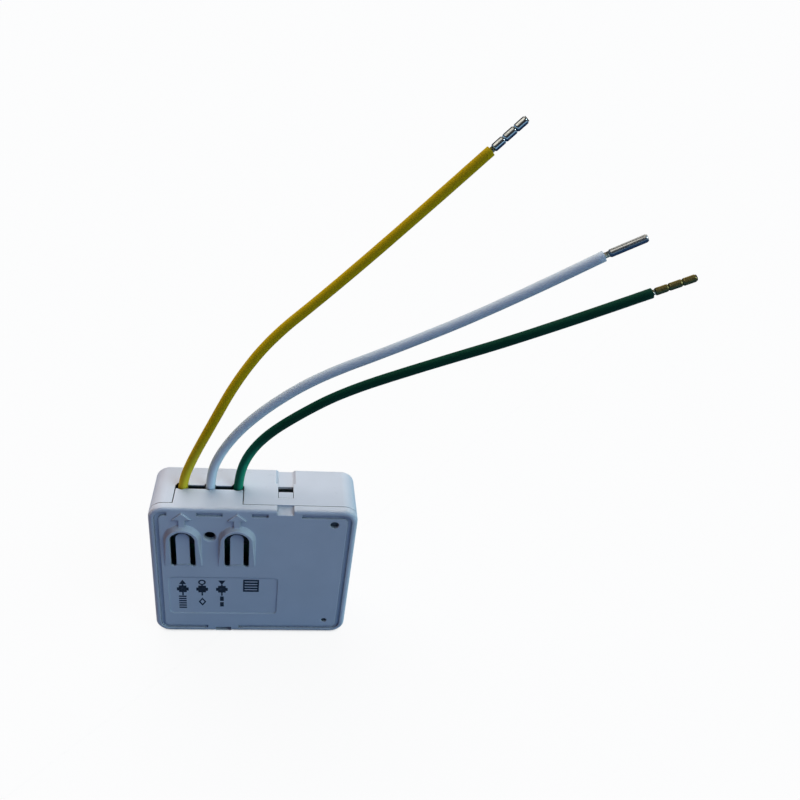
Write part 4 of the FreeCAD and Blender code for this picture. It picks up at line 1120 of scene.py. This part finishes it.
    def lay_pads(self) -> None:
        """Lays bright pads: round the leads' holes, along the chips' edges and under the small parts."""
        draft = Draft()
        half = self.leg_half
        inner, outer = self.joint_pad
        for x in self.joints:
            for low in (self.rear, self.front - self.rise):
                high = low + self.rise
                corners = ((inner, low), (outer, low), (outer, high), (inner, high), (inner, low))
                rings = [disc(x, level, self.joint_level, reach) for reach, level in corners]
                draft.skin(rings[:-1] + rings[:1], caps=False)
        for x, z, wide in self.chips:
            count = int((wide - 1.0) / self.leg_pitch) + 1
            for i in range(count):
                off = (i - (count - 1) / 2) * self.leg_pitch
                for sign in (-1, 1):
                    near, far = sorted(sign * (wide / 2 + reach) for reach in self.leg_span)
                    self.pad(draft, x + near, x + far, z + off - half, z + off + half, half)
                    self.pad(draft, x + off - half, x + off + half, z + near, z + far, half)
        for x in self.part_columns:
            for level in self.part_levels:
                for sign in (-1, 1):
                    near, far = sorted(x + sign * reach for reach in self.part_span)
                    self.pad(draft, near, far, level - self.part_half, level + self.part_half, self.part_rise)
        draft.piece("board_pads", Finish.SOLDER)

    def solder(self, steps: int = 8, high: float = 0.57) -> None:
        """Makes hollow-sided solder cones round the leads' tails.

        Args:
            steps: Number of stretches along a cone.
            high: A cone's height and its reach at the tip, in millimetres.
        """
        draft = Draft()
        for x in self.joints:
            rings = []
            for i in range(steps + 1):
                share = i / steps
                level = self.front - self.rise - high * share
                rings.append(disc(x, level, self.joint_level, high + self.flare * (1.0 - share) ** 2.2))
            draft.skin(rings)
        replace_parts(draft.piece("solder_cones", Finish.SOLDER), "solder_joints")


@dataclass
class Switches:
    """The two push switches with their frames, plungers and feet."""

    places: tuple[float, float] = (-15.05, -3.55)
    level: float = 28.0
    face: float = -3.0
    foot: Spots = (
        (2.25, -1.75), (2.6, -1.75), (2.6, -1.45), (3.1, -1.45), (3.1, -1.3), (2.45, -1.3), (2.45, -1.6),
        (2.25, -1.6),
    )
    foot_half: float = 0.35
    foot_off: float = 1.6
    rivet: Spots = ((0.0, 0.34), (0.08, 0.34), (0.14, 0.27), (0.16, 0.14))
    rivet_off: float = 1.75
    frame_thick: float = 0.2

    def build(self) -> None:
        """Dresses the switches and adds their feet and rivets."""
        for side in ("left", "right"):
            dress(Finish.BLACK, f"{side}_switch_base")
            # The frames get steel painted dark as shade.
            dress(Finish.DULL_STEEL, f"{side}_switch_frame")
            dress(Finish.BUTTON, f"{side}_plunger")
        self.add_feet()
        self.add_rivets()

    def corners(self, off: float) -> list[tuple[float, float, int]]:
        """Both switches' middles, with the level and the side of each of their corners."""
        return [(x, self.level + rise, sign) for x in self.places for rise in (-off, off) for sign in (-1, 1)]

    def add_feet(self) -> None:
        """Adds four bent feet to each switch."""
        draft = Draft()
        for x, z, sign in self.corners(self.foot_off):
            edges = (z - self.foot_half, z + self.foot_half)
            draft.skin([[Vector((x + sign * reach, y, edge)) * MM for reach, y in self.foot]
                        for edge in edges])
        draft.piece("switch_feet", Finish.SOLDER)

    def add_rivets(self) -> None:
        """Adds four round rivets to each frame's corners."""
        draft = Draft()
        for x, z, sign in self.corners(self.rivet_off):
            spot = x + sign * self.rivet_off
            draft.skin([disc(spot, self.face - self.frame_thick - rise, z, reach, 16)
                        for rise, reach in self.rivet])
        draft.piece("switch_rivets", Finish.BLACK)


@dataclass
class CoinCell:
    """The coin cell with its drawn can, and the sheet metal that holds it."""

    near: float = 0.05
    thick: float = 20.0
    high: float = 3.2
    skin: float = 0.25
    edge: float = 0.7
    lip: Spots = ((0.0, 0.75), (0.03, 0.5), (0.14, 0.3), (0.3, 0.25), (0.33, 0.3))

    def build(self) -> None:
        """Dresses the cell and the metal, and draws the can."""
        dress(Finish.CAP, "coin_cell_cap")
        dress(Finish.SEAL, "coin_cell_gasket")
        dress(Finish.STEEL, "battery_clip", "battery_contact")
        self.draw_can()

    def draw_can(self) -> None:
        """Draws the can: a cup with a rounded bottom edge and a lip that is rolled in over the gasket."""
        draft = Draft()
        far, outer, edge = self.near + self.high, self.thick / 2, self.edge
        inner = outer - self.skin
        profile = [(0.01, far), (outer - edge, far)]
        for turn in (math.pi / 2 * i / 6 for i in range(1, 7)):
            profile.append((outer - edge * (1 - math.sin(turn)), far - edge * (1 - math.cos(turn))))
        profile += [(outer - reach, self.near + level) for reach, level in self.lip]
        profile += [(inner, self.near + 0.55), (inner, far - self.skin - 0.4), (inner - 0.3, far - self.skin),
                    (0.01, far - self.skin)]
        draft.skin([disc(CELL_AXIS[0], y, CELL_AXIS[1], reach, 72) for reach, y in profile])
        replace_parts(draft.piece("drawn_can", Finish.CELL, smooth=30.0), "coin_cell_can")


@dataclass
class Studio:
    """The camera, the pale floor and the soft light."""

    spot: Point = (2.01, -114.663, 139.698)
    right: Point = (0.99403, -0.06206, 0.08971)
    upward: Point = (-0.0399, 0.55852, 0.82853)
    back: Point = (-0.10152, -0.82716, 0.55272)
    lens: float = 31.44
    sensor: float = 36.0
    shift: float = 0.075
    floor_size: float = 60.0
    floor_gap: float = 0.02
    notch: tuple[Point, Point] = ((-8.5, -6.2, -1.0), (-4.5, -2.0, 1.0))
    target: Point = (0.0, 0.0, 30.0)

    def stand_camera(self) -> None:
        """Stands the camera where the photograph was taken from."""
        data = bpy.data.cameras.new("camera")
        data.lens = self.lens
        data.sensor_width = self.sensor
        data.shift_x = self.shift
        data.clip_start = 0.002
        camera = bpy.data.objects.new("camera", data)
        place = Matrix((self.right, self.upward, self.back)).transposed().to_4x4()
        place.translation = Vector(self.spot) * MM
        camera.matrix_world = place
        bpy.context.scene.collection.objects.link(camera)
        bpy.context.scene.camera = camera

    def lay_floor(self) -> None:
        """Lays the pale floor, which looks white and keeps the module's shadow."""
        bpy.ops.mesh.primitive_plane_add(size=self.floor_size, location=(0.0, 0.0, -self.floor_gap * MM))
        floor = bpy.context.active_object
        floor.name = "floor"
        coat = Coat("floor_paper")
        seen = coat.seen()
        paper = coat.mix(seen, (0.14, 0.14, 0.14), (0.8, 0.8, 0.8))
        plain = coat.node("ShaderNodeBsdfDiffuse", {}, {"Color": paper})
        shine = coat.mix(coat.rays("Glossy"), (1.0, 1.0, 1.0), (0.24, 0.48, 0.74))
        white = coat.node("ShaderNodeEmission", {}, {"Color": shine, "Strength": 1.0})
        shut = coat.hidden(2.5 * MM).step(0.6, 0.8) | coat.within(*self.notch, 0.3 * MM)
        mixed = coat.node("ShaderNodeMixShader", {}, {0: seen * 0.93 * (1.0 - shut), 1: plain, 2: white})
        coat.node("ShaderNodeOutputMaterial", {}, {"Surface": mixed})
        floor.data.materials.append(coat.material)

    def lamp(self, name: str, spot: Point, power: float, size: float, colour: Colour,
             shows: bool = False) -> None:
        """Hangs a wide far lamp that looks at the module.

        Args:
            name: Its name.
            spot: The place it stands at, in millimetres.
            power: Its strength.
            size: Its angle in degrees.
            colour: Its colour.
            shows: Whether it shows in bright metal.
        """
        data = bpy.data.lights.new(name, "SUN")
        data.energy = power
        data.color = colour
        data.angle = math.radians(size)
        stand = Vector(spot) * MM
        turned = (Vector(self.target) * MM - stand).to_track_quat("-Z", "Y")
        thing = bpy.data.objects.new(name, data)
        thing.matrix_world = Matrix.Translation(stand) @ turned.to_matrix().to_4x4()
        thing.visible_glossy = shows
        bpy.context.scene.collection.objects.link(thing)

    def light(self) -> None:
        """Lights the module from above and behind, with a cool fill; bright metal sees two pale panels."""
        self.lamp("key_light", (-160, 448, 670), 2.22, 60, (1.0, 0.975, 0.97))
        self.lamp("warm_side", (-720, 0, 350), 0.35, 60, (1.0, 0.4, 0.15))
        self.lamp("right_above", (440, -280, 640), 1.0, 25, (0.62, 0.86, 1.0), True)
        self.lamp("right_low", (800, 0, 50), 1.7, 30, (0.5, 0.85, 1.0))
        self.lamp("cool_front", (0, -640, 510), 0.06, 60, (0.3, 0.6, 1.0))
        self.lamp("blue_below", (0, -800, 110), 0.42, 60, (0.08, 0.25, 1.0))
        world = bpy.data.worlds.new("studio")
        bpy.context.scene.world = world
        world.use_nodes = True
        tree = Tree(world.node_tree)
        way = tree.node("ShaderNodeTexCoord", output="Generated")
        left_panel = tree.facing(way, (-0.60, -0.10, 0.79)).step(0.92, 0.97)
        rear_panel = tree.facing(way, (0.25, 0.75, 0.60)).step(0.85, 0.95)
        mirrored = tree.mix(left_panel | rear_panel, (0.035, 0.04, 0.05), (1.0, 0.97, 0.86))
        looked_at = tree.mix(tree.rays("Glossy"), (1.0, 1.0, 1.0), mirrored)
        colour = tree.mix(tree.seen(), (0.02, 0.04, 0.075), looked_at)
        shine = tree.node("ShaderNodeBackground", {}, {"Color": colour, "Strength": 1.0})
        tree.node("ShaderNodeOutputWorld", {}, {"Surface": shine})
        bpy.context.scene.view_settings.view_transform = "Standard"


LEADS = (
    Lead("yellow", -15.65, (
        (0, 0, 0.6), (2.25, 0.05, 7.1), (6.45, 0.65, 16.0), (11.25, 2.05, 25.8),
        (17.65, 3.65, 34.8), (27.25, 4.35, 44.0), (40.85, 5.35, 58.0), (54.05, 6.55, 72.1),
    ), Finish.YELLOW, Finish.TINNED, Tip.CRIMPED, 0.4, 7.2),
    Lead("white", -9.75, (
        (0, 0, 0.5), (1.05, -0.25, 7.0), (5.55, 0.35, 14.4), (12.25, 0.75, 21.3),
        (21.55, 0.35, 28.7), (35.15, -1.15, 36.5), (52.35, -2.95, 47.1), (68.55, -4.25, 58.6),
    ), Finish.WHITE, Finish.SATIN, Tip.PLAIN, 0.85, 6.55, bend=(0.19, -0.20, -0.29)),
    Lead("green", -3.85, (
        (0, 0, 0.5), (1.15, 0.65, 6.7), (4.95, 1.65, 12.2), (11.45, 2.35, 17.4),
        (20.85, 2.45, 23.9), (35.85, 1.45, 31.3), (56.35, -0.05, 40.8), (75.65, -0.95, 50.8),
    ), Finish.GREEN, Finish.BRASS, Tip.CRIMPED, 0.4, 7.6),
)


def main() -> None:
    """Builds the scene: the camera, the leads, the housing, and the studio."""
    logging.basicConfig(level=logging.INFO, format="%(name)s: %(message)s")
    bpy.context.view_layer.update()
    studio = Studio()
    studio.stand_camera()
    for lead in LEADS:
        lead.build()
    for assembly in (Housing(), Board(), Switches(), CoinCell()):
        assembly.build()
    studio.lay_floor()
    studio.light()


if __name__ == "__main__":
    main()
